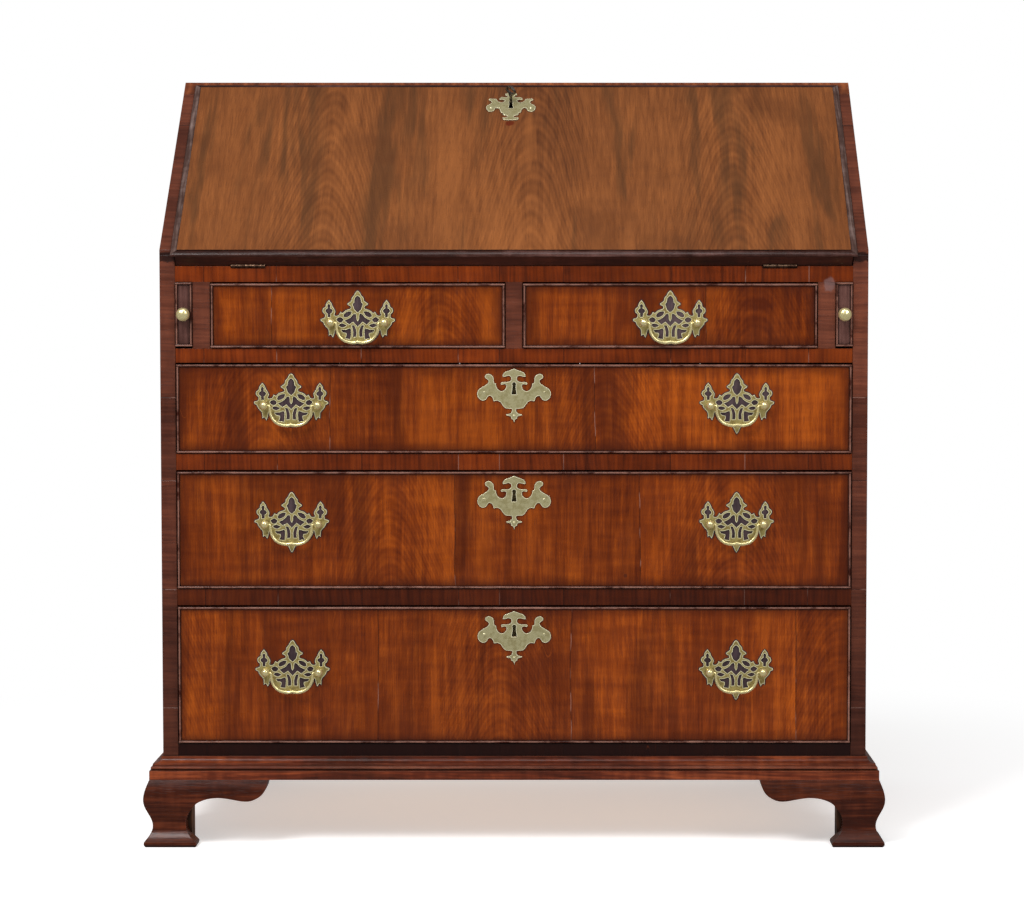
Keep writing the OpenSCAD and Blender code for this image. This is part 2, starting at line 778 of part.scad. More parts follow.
module fall_escutcheon() {
    color(BRASS) slope_place() translate([lock_x, key_s - key_up, fall_t + lip_t])
        escutcheon(fall_half(), [[-28.5, -5.5], [28.5, -5.5]], 0);
}

module fall_lock() {
    color(BRASS) slope_place() translate([lock_x, board_s, 0]) difference() {
        block([-lock_w / 2, -lock_h, fall_back], [lock_w / 2, 0, lock_t]);
        block([-lock_w / 2 + lock_wall, -lock_h + lock_wall, fall_back + lock_wall],
              [lock_w / 2 - lock_wall, -lock_wall, lock_t - lock_wall]);
        block([-bolt_w / 2 - bolt_gap, -2 * lock_wall, bolt_d - bolt_gap],
              [bolt_w / 2 + bolt_gap, over, bolt_d + bolt_t + bolt_gap]);
        translate([0, -key_down - key_up, lock_t - lock_wall - over])
            linear_extrude(lock_wall + 2 * over) keyhole();
    }
}

module fall_lock_bolt() {
    tail = 12.5;
    color(BRASS) slope_place() translate([lock_x, board_s, 0])
        block([-bolt_w / 2, -tail, bolt_d], [bolt_w / 2, 0, bolt_d + bolt_t]);
}

// The key, built on its own axis: shaft, collar, the bit that throws the bolt, and the bow
module key() {
    tip = 2.6;
    out = fall_t + lip_t + plate_t + key_out;
    color(IRON) slope_place() translate([lock_x, key_s, 0]) rotate([0, 0, key_turned]) {
        translate([0, 0, tip]) cylinder(h = out - tip, r = key_shaft_r);
        translate([0, 0, out - 3]) cylinder(h = 2.4, r = key_shaft_r + 1);
        block([-bit_t / 2, -bit_l, tip + 0.8], [bit_t / 2, 0, bolt_d + bolt_t + 1]);
        translate([0, 0, out + bow_h / 2 - 0.6]) rotate([90, 0, 90]) difference() {
            bow(0, bow_wire);
            bow(bow_rim, bow_wire + 2 * over);
        }
    }
}

// An oval, smaller all round by rim, centred and t thick
module bow(rim, t) {
    translate([0, 0, -t / 2]) linear_extrude(t)
        polygon([for (a = [0:10:350]) [(bow_w / 2 - rim) * cos(a), (bow_h / 2 - rim) * sin(a)]]);
}

// ---------------------------------------------------------------- lopers

// Bead strips round a front w by h whose lower left corner is at the origin
module bead_strips(w, h) {
    for (z = [0, h - bead_t]) translate([0, 0, z]) bead_strip(w);
    for (x = [0, w - bead_t]) translate([x, 0, 0]) mirror([1, 0, -1])
        translate([bead_t + joint_gap, 0, 0]) bead_strip(h - 2 * bead_t - 2 * joint_gap);
}

// One strip of length l along x with a half-round front edge
module bead_strip(l) {
    r = bead_t / 2;
    back = bead_in - joint_gap;
    rotate([90, 0, 90]) linear_extrude(l)
        polygon(concat([[back, 0]], arc([r - bead_proud, r], r, 270, 90, 8),
                       [[back, bead_t]]));
}

// A front w by h by t, rebated for its beads, lower left corner at the origin
module rebated_front(w, h, t) {
    b = bead_t + joint_gap;
    block([b, 0, b], [w - b, bead_in + over, h - b]);
    block([0, bead_in, 0], [w, t, h]);
}

// A loper with its bead, grooved along its inner side for the peg that stops it
module loper(side) {
    x0 = side > 0 ? channel_x + loper_gap : -channel_x - loper_gap - loper_w;
    groove_h = 2 * peg_r + 2;
    groove_d = peg_in + 1;
    groove_z = short_z + short_h / 2 - loper_z;
    inner = side > 0 ? 0 : loper_w;
    color(WALNUT) carcase() translate([x0, 0, loper_z]) {
        difference() {
            rebated_front(loper_w, loper_h, loper_l);
            translate([inner, 0, groove_z])
                block([-groove_d, peg_u - peg_r - 1, -groove_h / 2],
                      [groove_d, peg_u + loper_travel + peg_r + 1, groove_h / 2]);
            translate([loper_w / 2, -over, loper_h / 2]) rotate([-90, 0, 0])
                cylinder(h = knob_l + 2 + over, r = shank_r + joint_gap);
        }
        bead_strips(loper_w, loper_h);
    }
}

module loper_left() { loper(-1); }

module loper_right() { loper(1); }

module loper_knob(side) {
    r = loper_knob_d / 2;
    color(BRASS) carcase()
        translate([side * (channel_x + loper_gap + loper_w / 2), 0, loper_z + loper_h / 2])
            rotate([90, 0, 0]) rotate_extrude()
                polygon(concat(
                    [[0, -knob_l], [shank_r, -knob_l], [shank_r, 0], [0.62 * r, 0],
                     [0.62 * r, 1.2], [0.4 * r, 2.4], [0.34 * r, 3.6]],
                    arc([0.25 * r, 10], 0.75 * r, -55, 60, 10),
                    [[0, 10 + 0.82 * r]]));
}

module loper_knob_left() { loper_knob(-1); }

module loper_knob_right() { loper_knob(1); }

// ---------------------------------------------------------------- drawers

// A drawer is [middle x, opening width, opening z, opening height]
SHORT_L = [-short_x, short_w, short_z, short_h];
SHORT_R = [short_x, short_w, short_z, short_h];
UPPER = [0, 2 * in_x, upper_z, upper_h];
MIDDLE = [0, 2 * in_x, middle_z, middle_h];
LOWER = [0, 2 * in_x, lower_z, lower_h];

function drawer_w(d) = d[1] - 2 * drawer_gap;
function drawer_h(d) = d[3] - drawer_lift - drawer_head;

// The front board with its beads, bored for its handles and cut for its lock. xs are the
// handles' places; down and key_at are how far handles and keyhole are below the opening's top.
module drawer_front(d, xs, down, key_at) {
    w = drawer_w(d);
    h = drawer_h(d);
    z0 = d[2] + drawer_lift;
    top = d[2] + d[3];
    color(WALNUT) carcase() {
        difference() {
            translate([d[0] - w / 2, 0, z0]) rebated_front(w, h, front_t);
            for (x = xs, side = [-1, 1])
                translate([d[0] + x + side * post_pitch / 2, -over, top - down])
                    rotate([-90, 0, 0]) cylinder(h = front_t + 2 * over, r = shank_r + 0.2);
            translate([d[0], 0, top - key_at])
                forward(front_t + 2 * over, front_t + over) keyhole(0.3);
            translate([d[0], 0, top - key_at + key_up + drawer_lock_up])
                block([-drawer_lock_w / 2 - joint_gap, front_t - drawer_lock_t - joint_gap,
                       -drawer_lock_h - joint_gap],
                      [drawer_lock_w / 2 + joint_gap, front_t + over, joint_gap]);
        }
        translate([d[0] - w / 2, 0, z0]) bead_strips(w, h);
    }
}

// Sides, back and bottom of a drawer
module drawer_box(d) {
    w = drawer_w(d);
    g = joint_gap;
    side_h = drawer_h(d) - 4;
    color(PINE) carcase() translate([d[0], 0, d[2] + drawer_lift]) {
        for (side = [-1, 1]) translate([side * (w - lining_t) / 2, 0, 0])
            block([-lining_t / 2, front_t + g, 0], [lining_t / 2, drawer_l, side_h]);
        block([-w / 2 + lining_t + g, drawer_l - lining_t, drawer_bottom_t + 2 + g],
              [w / 2 - lining_t - g, drawer_l, side_h - 6]);
        block([-w / 2 + lining_t + g, front_t + g, 2],
              [w / 2 - lining_t - g, drawer_l, drawer_bottom_t + 2]);
    }
}

// A lock let into the back of a front, with its keyhole and a shot slot in its edge
module drawer_lock(d, key_at) {
    wall = drawer_lock_wall;
    color(BRASS) carcase() translate([d[0], 0, d[2] + d[3] - key_at + key_up + drawer_lock_up])
        difference() {
            block([-drawer_lock_w / 2, front_t - drawer_lock_t, -drawer_lock_h],
                  [drawer_lock_w / 2, front_t, 0]);
            block([-drawer_lock_w / 2 + wall, front_t - drawer_lock_t + wall,
                   -drawer_lock_h + wall],
                  [drawer_lock_w / 2 - wall, front_t - wall, -wall]);
            block([-9, front_t - 7.5, -2 * wall], [9, front_t - 3.5, over]);
            translate([0, 0, -drawer_lock_up - key_up])
                forward(2 * wall, front_t - drawer_lock_t + wall + 0.5) keyhole();
        }
}

// Left half of a pierced handle plate, from its top finial round to its foot
function plate_half(drop) = concat(
    [[0, 43.4], [-2.6, 41.4], [-5, 36.9], [-8, 33.4], [-8.4, 30.2], [-10.7, 27.9],
     [-13.6, 26], [-13.2, 24.2], [-10.6, 23], [-9.3, 21.3], [-9.8, 18.8],
     [-13.9, 17.5], [-17.5, 15.9], [-20.7, 12.6], [-20.7, 12.6], [-23.8, 14.4],
     [-23.8, 14.4], [-26, 10], [-30.2, 9.1], [-31.9, 10.8], [-31, 13], [-30.8, 16],
     [-32.6, 19.4], [-34.4, 22], [-35.6, 25.8], [-39.2, 30.6], [-39.2, 30.6],
     [-42.9, 25.8], [-43.8, 21.6], [-46.8, 19.4], [-48, 16.4], [-46.8, 13.2],
     [-44.6, 11.4], [-44.6, 7.6], [-46.8, 5.8], [-50.2, 4.8], [-50.2, 2.2],
     [-47, 0.8], [-46, -2], [-43.6, -5.4], [-40, -9.4], [-39.4, -13.6],
     [-39.2, -18], [-39.2, -18], [-36.8, -16], [-33.9, -20.2], [-33.9, -20.2],
     [-32.2, -16], [-31.2, -11], [-29.6, -8.6], [-28.6, -13.2], [-25.6, -19.2],
     [-20.6, -24], [-13.4, -27.2], [-7, -28.5]],
    drop ? [[-4.8, -30.4], [-3.2, -33.6], [-1.8, -36.6], [0, -39], [0, -39]]
         : [[0, -29]]);

// The pointed opening of the top finial, as its left half
function leaf_hole() = [[0, 36], [0, 36], [-2.4, 34.2], [-3.7, 31.4], [-4.2, 27],
                        [-6.2, 25.2], [-5.2, 22], [-3.9, 18.2], [0, 14.4], [0, 14.4]];

// Openings that are cut on both sides, each as its left one
function side_holes() = [
    // The looped leaves
    [[-8.8, 14.6], [-8.8, 14.6], [-13, 14.5], [-17, 12.4], [-18.6, 9.2], [-17, 7.6],
     [-12.8, 9], [-9.9, 11.4]],
    // The hollow under the loops, which meets its twin below the hanging drop
    [[0.1, 0.3], [0.1, 0.3], [-2.3, 4.4], [-2.5, 8.8], [-3.3, 11.6], [-3.3, 11.6],
     [-5.9, 10.6], [-8.6, 7.2], [-13, 4.2], [-17, 2.6], [-17, 2.6], [-11.9, -1.9],
     [-11.9, -1.9], [-6.4, 2.1], [-6.4, 2.1], [-3.2, -1.4], [0.1, -4.4], [0.1, -4.4]],
    // The curved slots beside the trunk
    [[-7.8, -4.2], [-7.8, -4.2], [-5.2, -4.6], [-3.4, -8.6], [-2.5, -13], [-2.8, -18.6],
     [-2.8, -18.6], [-6, -18.8], [-6, -18.8], [-5.7, -13], [-6.6, -8]],
    // The eyes
    [[-25.4, -3.6], [-21.4, -1.8], [-16.2, -3.8], [-16.2, -3.8], [-20.4, -6.2]],
    // The pockets under the eyes
    [[-21.8, -10.4], [-21.8, -10.4], [-15.6, -10.2], [-10.6, -8.4], [-9.7, -13],
     [-10.4, -21.8], [-10.4, -21.8], [-16.2, -21], [-16.2, -21], [-14.6, -17],
     [-15.4, -13.6], [-20, -12.8]],
    // The small holes behind the eyes
    [[-28.4, 4.6], [-28.4, 4.6], [-24.4, 6.9], [-20.2, 4.2], [-22.6, 0.9], [-26.6, 1.6]],
    // The trefoils of the side finials
    [[-39.2, 24.6], [-40.7, 22.8], [-40.2, 19.2], [-42.2, 18], [-43.4, 15.8], [-42, 13.8],
     [-40.6, 12.8], [-40.4, 8], [-40.4, 8], [-37.8, 8], [-37.8, 8], [-37.6, 12.8],
     [-36, 13.8], [-34.8, 15.8], [-36, 17.8], [-38.2, 19.2], [-37.7, 22.8]]];

module handle_plate(drop) {
    linear_extrude(plate_t) difference() {
        scale([plate_k, plate_v]) difference() {
            polygon(spline(concat(plate_half(drop), flip(plate_half(drop))), 2));
            offset(delta = filed) {
                polygon(spline(concat(leaf_hole(), flip(leaf_hole())), 2));
                for (p = side_holes()) {
                    polygon(spline(p, 2));
                    polygon(spline(flip(p), 2));
                }
            }
        }
        for (side = [-1, 1]) translate([side * post_pitch / 2, 0])
            circle(r = shank_r + 0.2);
    }
}

// A ball-headed post on z, outward from the drawer's face, bored across for the bail
module handle_post(side) {
    r = ball_d / 2;
    collar_r = 4.4;
    bore = bail_pin_r + 0.1;
    difference() {
        rotate_extrude() polygon(concat(
            [[0, -front_t - nut_t - 2], [shank_r, -front_t - nut_t - 2],
             [shank_r, plate_t + joint_gap], [collar_r, plate_t + joint_gap],
             [collar_r, plate_t + 1.2], [collar_r - 1.5, plate_t + 2.2]],
            arc([0, ball_out], r, -56, 90, 12)));
        translate([0, 0, ball_out]) rotate([0, side * 90, 0]) translate([0, 0, 0.8])
            cylinder(h = r, r = bore);
    }
    translate([0, 0, -front_t - nut_t]) difference() {
        rotate([0, 0, 45]) cylinder(h = nut_t - joint_gap, r = nut_r, $fn = 4);
        translate([0, 0, -over]) cylinder(h = nut_t + 2 * over, r = shank_r + 0.2);
    }
}

// The plate, posts and nuts of each handle of a drawer
module handle_mounts(d, xs, down, drops) {
    color(BRASS) for (i = [0:len(xs) - 1])
        carcase() translate([d[0] + xs[i], 0, d[2] + d[3] - down]) rotate([90, 0, 0]) {
            handle_plate(drops[i]);
            for (side = [-1, 1]) translate([side * post_pitch / 2, 0, 0])
                handle_post(-side);
        }
}

// The left half of a bail's line from its pins, drawn as (x, up)
function bail_half() = let (x = bail_x, d = bail_drop) [
    [-x - 1.2, -0.3], [-x - 0.2, -1.8], [-x, -0.18 * d], [-0.986 * x, -0.34 * d],
    [-0.944 * x, -0.51 * d], [-0.867 * x, -0.67 * d], [-0.748 * x, -0.81 * d],
    [-0.6 * x, -0.915 * d], [-0.427 * x, -0.97 * d], [-0.25 * x, -d],
    [-0.12 * x, -0.99 * d], [0, -0.96 * d]];
function bail_line() = let (h = bail_half(), f = flip(h))
    concat(h, [for (i = [1:len(f) - 1]) f[i]]);

// A bail: a rod swept along its line, thicker to the middle, with two pins
module bail(d, x, down) {
    line = bail_line();
    n = len(line);
    sides = 12;
    function dir(i) = let (a = line[max(0, i - 1)], b = line[min(n - 1, i + 1)])
        (b - a) / norm(b - a);
    function thick(i) = bail_r
        + (bail_mid_r - bail_r) * pow(1 - abs(2 * i / (n - 1) - 1), 0.8);
    points = [for (i = [0:n - 1], k = [0:sides - 1])
        let (t = dir(i), a = 360 * k / sides, r = thick(i))
            [line[i][0] - t[1] * r * cos(a), r * sin(a), line[i][1] + t[0] * r * cos(a)]];
    walls = [for (i = [0:n - 2], k = [0:sides - 1]) let (m = (k + 1) % sides)
        [i * sides + k, i * sides + m, (i + 1) * sides + m, (i + 1) * sides + k]];
    ends = [[for (k = [sides - 1:-1:0]) k], [for (k = [0:sides - 1]) (n - 1) * sides + k]];
    color(BRASS) carcase()
        translate([d[0] + x, -ball_out, d[2] + d[3] - down]) {
            polyhedron(points, concat(walls, ends));
            for (side = [-1, 1]) translate([side * bail_x, 0, 0]) rotate([0, side * 90, 0])
                cylinder(h = ball_d / 2 + 1, r = bail_pin_r);
        }
}

module short_left_front() {
    drawer_front(SHORT_L, [0], short_handle_down, short_key_down);
}

module short_left_box() { drawer_box(SHORT_L); }

module short_left_mount() {
    handle_mounts(SHORT_L, [0], short_handle_down, [false]);
    drawer_lock(SHORT_L, short_key_down);
}

module short_left_bail() { bail(SHORT_L, 0, short_handle_down); }

module short_right_front() {
    drawer_front(SHORT_R, [0], short_handle_down, short_key_down);
}

module short_right_box() { drawer_box(SHORT_R); }

module short_right_mount() {
    handle_mounts(SHORT_R, [0], short_handle_down, [false]);
    drawer_lock(SHORT_R, short_key_down);
}

module short_right_bail() { bail(SHORT_R, 0, short_handle_down); }

// Places of a long drawer's two handles, and of its escutcheon's pins
PAIR = [-handle_x, handle_x];
PINS = [[-41, -3.7], [41, -3.7], [0, -36]];
pin_l = 8;
pin_bore_r = 0.95;

module long_lock(d) {
    color(BRASS) carcase() translate([d[0], 0, d[2] + d[3] - escutcheon_down])
        rotate([90, 0, 0]) escutcheon(drawer_half(), PINS, pin_l);
    drawer_lock(d, escutcheon_down);
}

module long_front(d, down) {
    difference() {
        drawer_front(d, PAIR, down, escutcheon_down);
        carcase() translate([d[0], 0, d[2] + d[3] - escutcheon_down]) rotate([90, 0, 0])
            for (p = PINS) translate([p[0], p[1], -pin_l - over])
                cylinder(h = pin_l + 2 * over, r = pin_bore_r);
    }
}

module long_upper_front() { long_front(UPPER, upper_handle_down); }

module long_upper_box() { drawer_box(UPPER); }

module long_upper_mounts() { handle_mounts(UPPER, PAIR, upper_handle_down, [false, true]); }

module long_upper_lock() { long_lock(UPPER); }

module long_upper_bail_left() { bail(UPPER, -handle_x, upper_handle_down); }

module long_upper_bail_right() { bail(UPPER, handle_x, upper_handle_down); }

module long_middle_front() { long_front(MIDDLE, middle_handle_down); }

module long_middle_box() { drawer_box(MIDDLE); }

module long_middle_mounts() { handle_mounts(MIDDLE, PAIR, middle_handle_down, [true, true]); }

module long_middle_lock() { long_lock(MIDDLE); }

module long_middle_bail_left() { bail(MIDDLE, -handle_x, middle_handle_down); }

module long_middle_bail_right() { bail(MIDDLE, handle_x, middle_handle_down); }

module long_lower_front() { long_front(LOWER, lower_handle_down); }

module long_lower_box() { drawer_box(LOWER); }

module long_lower_mounts() { handle_mounts(LOWER, PAIR, lower_handle_down, [false, true]); }

module long_lower_lock() { long_lock(LOWER); }

module long_lower_bail_left() { bail(LOWER, -handle_x, lower_handle_down); }

module long_lower_bail_right() { bail(LOWER, handle_x, lower_handle_down); }

// ---------------------------------------------------------------- nest

// The nest's ends, shelf, top and partitions, each its own board
module interior_case() {
    g = joint_gap;
    t = nest_t;
    color(WALNUT) carcase() {
        for (side = [-1, 1]) translate([side * (in_x - t / 2), 0, 0])
            block([-t / 2 + g / 2, nest_front, writing_z], [t / 2 - g / 2, in_d, ceiling_z]);
        for (z = [shelf_z, ceiling_z - t])
            block([-nest_in - g / 2 + g, nest_front, z], [nest_in - g / 2, in_d, z + t]);
        for (i = [1:inner_count - 1])
            translate([-nest_in - t / 2 + i * inner_pitch, 0, 0])
                block([-t / 2, nest_front, writing_z], [t / 2, in_d, shelf_z - g]);
        for (i = [1:hole_count - 1])
            translate([-nest_in - t / 2 + i * hole_pitch, 0, 0])
                block([-t / 2, nest_front, shelf_z + t + g],
                      [t / 2, in_d, ceiling_z - t - g]);
    }
}

// An apron at the head of each pigeonhole, sawn to an ogee arch
module interior_valances() {
    set_back = 4;
    t = 5;
    steps = 24;
    w = hole_pitch - nest_t - 2 * joint_gap;
    color(WALNUT) carcase() for (i = [0:hole_count - 1])
        translate([-nest_in + w / 2 + joint_gap + i * hole_pitch, nest_front + set_back + t,
                   ceiling_z - nest_t - joint_gap])
            rotate([90, 0, 0]) linear_extrude(t) polygon(concat(
                [[w / 2, 0], [-w / 2, 0]],
                [for (k = [0:steps]) let (f = 2 * k / steps - 1)
                    [f * w / 2, -valance_h * (0.62 - 0.38 * cos(180 * f))]]));
}

// A small drawer of the nest: front, sides, back, bottom and a turned knob
module inner_drawer(i) {
    g = joint_gap;
    gap = 0.7;
    w = inner_pitch - nest_t - 2 * gap;
    h = inner_h - 2 * gap;
    l = nest_d - 12;
    f = 9;
    t = 5;
    knob_r = 6.5;
    x = -nest_in + (i - 0.5) * inner_pitch - nest_t / 2;
    color(WALNUT) carcase()
        translate([x, nest_front + 1, writing_z + gap]) {
            difference() {
                block([-w / 2, 0, 0], [w / 2, f, h]);
                translate([0, -over, h / 2]) rotate([-90, 0, 0])
                    cylinder(h = f + 2 * over, r = 2.5 + g);
            }
            for (side = [-1, 1]) translate([side * (w - t) / 2, 0, 0])
                block([-t / 2, f + g, 0], [t / 2, l, h - 4]);
            block([-w / 2 + t + g, l - t, 4 + g], [w / 2 - t - g, l, h - 6]);
            block([-w / 2 + t + g, f + g, 0.5], [w / 2 - t - g, l, 4]);
            translate([0, 0, h / 2]) rotate([90, 0, 0]) rotate_extrude()
                polygon(concat([[0, -f - 1], [2.5, -f - 1], [2.5, 0.2], [4.5, 0.2], [4.5, 1.2],
                                [2.6, 2.8], [2.4, 4]],
                               arc([0, 9.2], knob_r, -50, 90, 12)));
        }
}

module inner_drawer_1() { inner_drawer(1); }

module inner_drawer_2() { inner_drawer(2); }

module inner_drawer_3() { inner_drawer(3); }

module inner_drawer_4() { inner_drawer(4); }

side_left();
side_right();
top_board();
bottom_board();
back_boards();
top_rail();
writing_board();
drawer_rails();
uprights();
dust_boards();
drawer_runners();
base_moulding();
foot_front_left();
foot_front_right();
foot_back_left();
foot_back_right();
case_hinge_leaves();
interior_case();
interior_valances();
fall_board();
fall_moulding();
fall_hinge_leaves();
fall_escutcheon();
fall_lock();
fall_lock_bolt();
key();
loper_left();
loper_right();
loper_knob_left();
loper_knob_right();
short_left_front();
short_left_box();
short_left_mount();
short_left_bail();
short_right_front();
short_right_box();
short_right_mount();
short_right_bail();
long_upper_front();
long_upper_box();
long_upper_mounts();
long_upper_lock();
long_upper_bail_left();
long_upper_bail_right();
long_middle_front();
long_middle_box();
long_middle_mounts();
long_middle_lock();
long_middle_bail_left();
long_middle_bail_right();
long_lower_front();
long_lower_box();
long_lower_mounts();
long_lower_lock();
long_lower_bail_left();
long_lower_bail_right();
inner_drawer_1();
inner_drawer_2();
inner_drawer_3();
inner_drawer_4();
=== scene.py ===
"""The finished look of a slope-front mahogany bureau.

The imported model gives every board, bead, plate and joint its place. This script softens
the arrises of the boards, cuts finer brass and gives each piece its timber or metal.
"""
import logging
import math
from dataclasses import dataclass, replace
from enum import Enum
from typing import Callable, Iterable, Sequence

import bmesh
import bpy
from bpy.types import Material, Mesh, NodeSocket, Object, ShaderNode
from mathutils import Matrix, Vector


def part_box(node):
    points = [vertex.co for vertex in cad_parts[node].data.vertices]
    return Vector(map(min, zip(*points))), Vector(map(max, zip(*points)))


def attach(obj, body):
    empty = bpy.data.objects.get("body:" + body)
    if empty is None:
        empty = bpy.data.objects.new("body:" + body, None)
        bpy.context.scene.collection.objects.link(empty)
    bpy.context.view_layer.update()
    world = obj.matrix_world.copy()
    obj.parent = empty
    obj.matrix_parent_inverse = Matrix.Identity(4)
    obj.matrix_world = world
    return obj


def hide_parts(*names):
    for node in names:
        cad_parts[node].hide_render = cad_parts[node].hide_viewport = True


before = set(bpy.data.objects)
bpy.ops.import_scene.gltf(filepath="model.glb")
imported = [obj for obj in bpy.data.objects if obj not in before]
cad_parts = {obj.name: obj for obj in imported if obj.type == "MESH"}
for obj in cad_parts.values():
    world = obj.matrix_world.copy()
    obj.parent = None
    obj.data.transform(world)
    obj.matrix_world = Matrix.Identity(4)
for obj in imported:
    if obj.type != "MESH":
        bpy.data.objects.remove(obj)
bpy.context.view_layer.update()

logging.basicConfig(level=logging.INFO, format="%(name)s: %(message)s")
LOG = logging.getLogger("bureau")

MM = 0.001
SLOPE = math.radians(43.0)
FRONT_Y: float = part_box("drawer_rails")[0].y
WRITING_Z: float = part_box("writing_board")[1].z
FACING_FRONT = FRONT_Y + 2 * MM
BEAD_DEEP = 13.5 * MM
SAME_PLACE = 1e-5
JOIN_WITHIN = 1e-6
Colour = tuple[float, float, float]
Rule = Callable[[Vector, Vector, bmesh.types.BMFace], int]
Keep = Callable[[Vector, Vector], bool]


def rgb(r: float, g: float, b: float) -> Colour:
    """Turns a colour seen on a screen, 0 to 255, into linear light.

    Args:
        r: Red.
        g: Green.
        b: Blue.

    Returns:
        The linear colour.
    """
    def linear(v: float) -> float:
        """Undoes the screen's curve for one channel."""
        v = v / 255.0
        return v / 12.92 if v <= 0.04045 else ((v + 0.055) / 1.055) ** 2.4
    return (linear(r), linear(g), linear(b))


# ------------------------------------------------------------------ node wiring


class Graph:
    """A material's node tree with short ways to add and join nodes."""

    def __init__(self, name: str) -> None:
        """Starts an empty material.

        Args:
            name: The material's name.
        """
        self.material: Material = bpy.data.materials.new(name)
        self.material.use_nodes = True
        self.tree = self.material.node_tree
        self.tree.nodes.clear()

    def node(self, kind: str, **settings: object) -> ShaderNode:
        """Adds a node of a kind and sets its own properties.

        Args:
            kind: Blender's name for the node.
            **settings: Its properties by name.

        Returns:
            The node.
        """
        made = self.tree.nodes.new(kind)
        for key, value in settings.items():
            setattr(made, key, value)
        return made

    def join(self, source: object, target: NodeSocket) -> None:
        """Feeds a socket from a node's socket or sets it to a plain value.

        Args:
            source: The socket or value.
            target: The socket that is fed.
        """
        if isinstance(source, NodeSocket):
            self.tree.links.new(source, target)
        elif isinstance(source, (tuple, list)) and len(target.default_value) == 4:
            target.default_value = (*source[:3], 1.0)
        else:
            target.default_value = source

    def math(self, operation: str, a: object, b: object = 0.0,
             clamp: bool = False) -> NodeSocket:
        """Does arithmetic on one or two numbers.

        Args:
            operation: Blender's name for the sum.
            a: First number.
            b: Second number.
            clamp: Whether to keep the answer within 0 to 1.

        Returns:
            The answer's socket.
        """
        made = self.node("ShaderNodeMath", operation=operation, use_clamp=clamp)
        for value, socket in zip((a, b), made.inputs):
            self.join(value, socket)
        return made.outputs[0]

    def add(self, a: object, b: object, clamp: bool = False) -> NodeSocket:
        """Adds two numbers."""
        return self.math("ADD", a, b, clamp)

    def less(self, a: object, b: object) -> NodeSocket:
        """Takes the second number from the first."""
        return self.math("SUBTRACT", a, b)

    def times(self, a: object, b: object, clamp: bool = False) -> NodeSocket:
        """Multiplies two numbers."""
        return self.math("MULTIPLY", a, b, clamp)

    def sway(self, value: object, amount: object) -> NodeSocket:
        """Turns a value about 0.5 into one about 0, and scales it."""
        return self.times(self.less(value, 0.5), amount)

    def length(self, a: object, b: object) -> NodeSocket:
        """Gives the distance of a point in a plane from its origin."""
        return self.math("SQRT", self.add(self.times(a, a), self.times(b, b)))

    def span(self, value: object, low: float, high: float, to_low: float = 0.0,
             to_high: float = 1.0, smooth: bool = True) -> NodeSocket:
        """Maps a number from one range to another and holds it there.

        Args:
            value: The number.
            low: Start of its range.
            high: End of its range.
            to_low: What the start becomes.
            to_high: What the end becomes.
            smooth: Whether the change eases in and out.

        Returns:
            The mapped number's socket.
        """
        made = self.node("ShaderNodeMapRange",
                         interpolation_type="SMOOTHSTEP" if smooth else "LINEAR")
        for source, socket in zip((value, low, high, to_low, to_high), made.inputs):
            self.join(source, socket)
        return made.outputs[0]

    def split(self, vector: NodeSocket) -> tuple[NodeSocket, NodeSocket, NodeSocket]:
        """Takes a vector apart.

        Args:
            vector: The vector.

        Returns:
            Its x, y and z.
        """
        made = self.node("ShaderNodeSeparateXYZ")
        self.join(vector, made.inputs[0])
        return made.outputs[0], made.outputs[1], made.outputs[2]

    def vector(self, x: object, y: object, z: object) -> NodeSocket:
        """Puts a vector together.

        Args:
            x: First part.
            y: Second part.
            z: Third part.

        Returns:
            The vector's socket.
        """
        made = self.node("ShaderNodeCombineXYZ")
        for value, socket in zip((x, y, z), made.inputs):
            self.join(value, socket)
        return made.outputs[0]

    def place(self, vector: NodeSocket, scale: Sequence[float] = (1, 1, 1),
              turn: Sequence[float] = (0, 0, 0), shift: Sequence[float] = (0, 0, 0)) -> NodeSocket:
        """Scales, turns and then shifts a vector.

        Args:
            vector: The vector.
            scale: How far it is stretched on each axis.
            turn: How far it is turned about each axis, in radians.
            shift: How far it is moved.

        Returns:
            The new vector's socket.
        """
        made = self.node("ShaderNodeMapping")
        self.join(vector, made.inputs["Vector"])
        made.inputs["Location"].default_value = shift
        made.inputs["Rotation"].default_value = turn
        made.inputs["Scale"].default_value = scale
        return made.outputs[0]

    def noise(self, vector: NodeSocket, scale: float = 1.0, detail: float = 2.0,
              rough: float = 0.5, distort: float = 0.0) -> NodeSocket:
        """Makes soft noise about 0.5.

        Args:
            vector: Where the noise is read.
            scale: How fine it is.
            detail: How many finer layers it has.
            rough: How strong they are.
            distort: How much it is warped.

        Returns:
            The noise's socket.
        """
        made = self.node("ShaderNodeTexNoise")
        self.join(vector, made.inputs["Vector"])
        made.inputs["Scale"].default_value = scale
        made.inputs["Detail"].default_value = detail
        made.inputs["Roughness"].default_value = rough
        made.inputs["Distortion"].default_value = distort
        return made.outputs[0]

    def chance(self, value: object) -> NodeSocket:
        """Gives a steady number between 0 and 1 for a whole number.

        Args:
            value: The whole number.

        Returns:
            The steady number's socket.
        """
        made = self.node("ShaderNodeTexWhiteNoise", noise_dimensions="1D")
        self.join(value, made.inputs["W"])
        return made.outputs[0]

    def mix(self, factor: object, a: object, b: object, blend: str = "MIX") -> NodeSocket:
        """Blends two colours.

        Args:
            factor: How much of the second.
            a: First colour.
            b: Second colour.
            blend: Blender's name for the blend.

        Returns:
            The blended colour's socket.
        """
        made = self.node("ShaderNodeMix", data_type="RGBA", blend_type=blend)
        self.join(factor, made.inputs[0])
        self.join(a, made.inputs[6])
        self.join(b, made.inputs[7])
        return made.outputs[2]

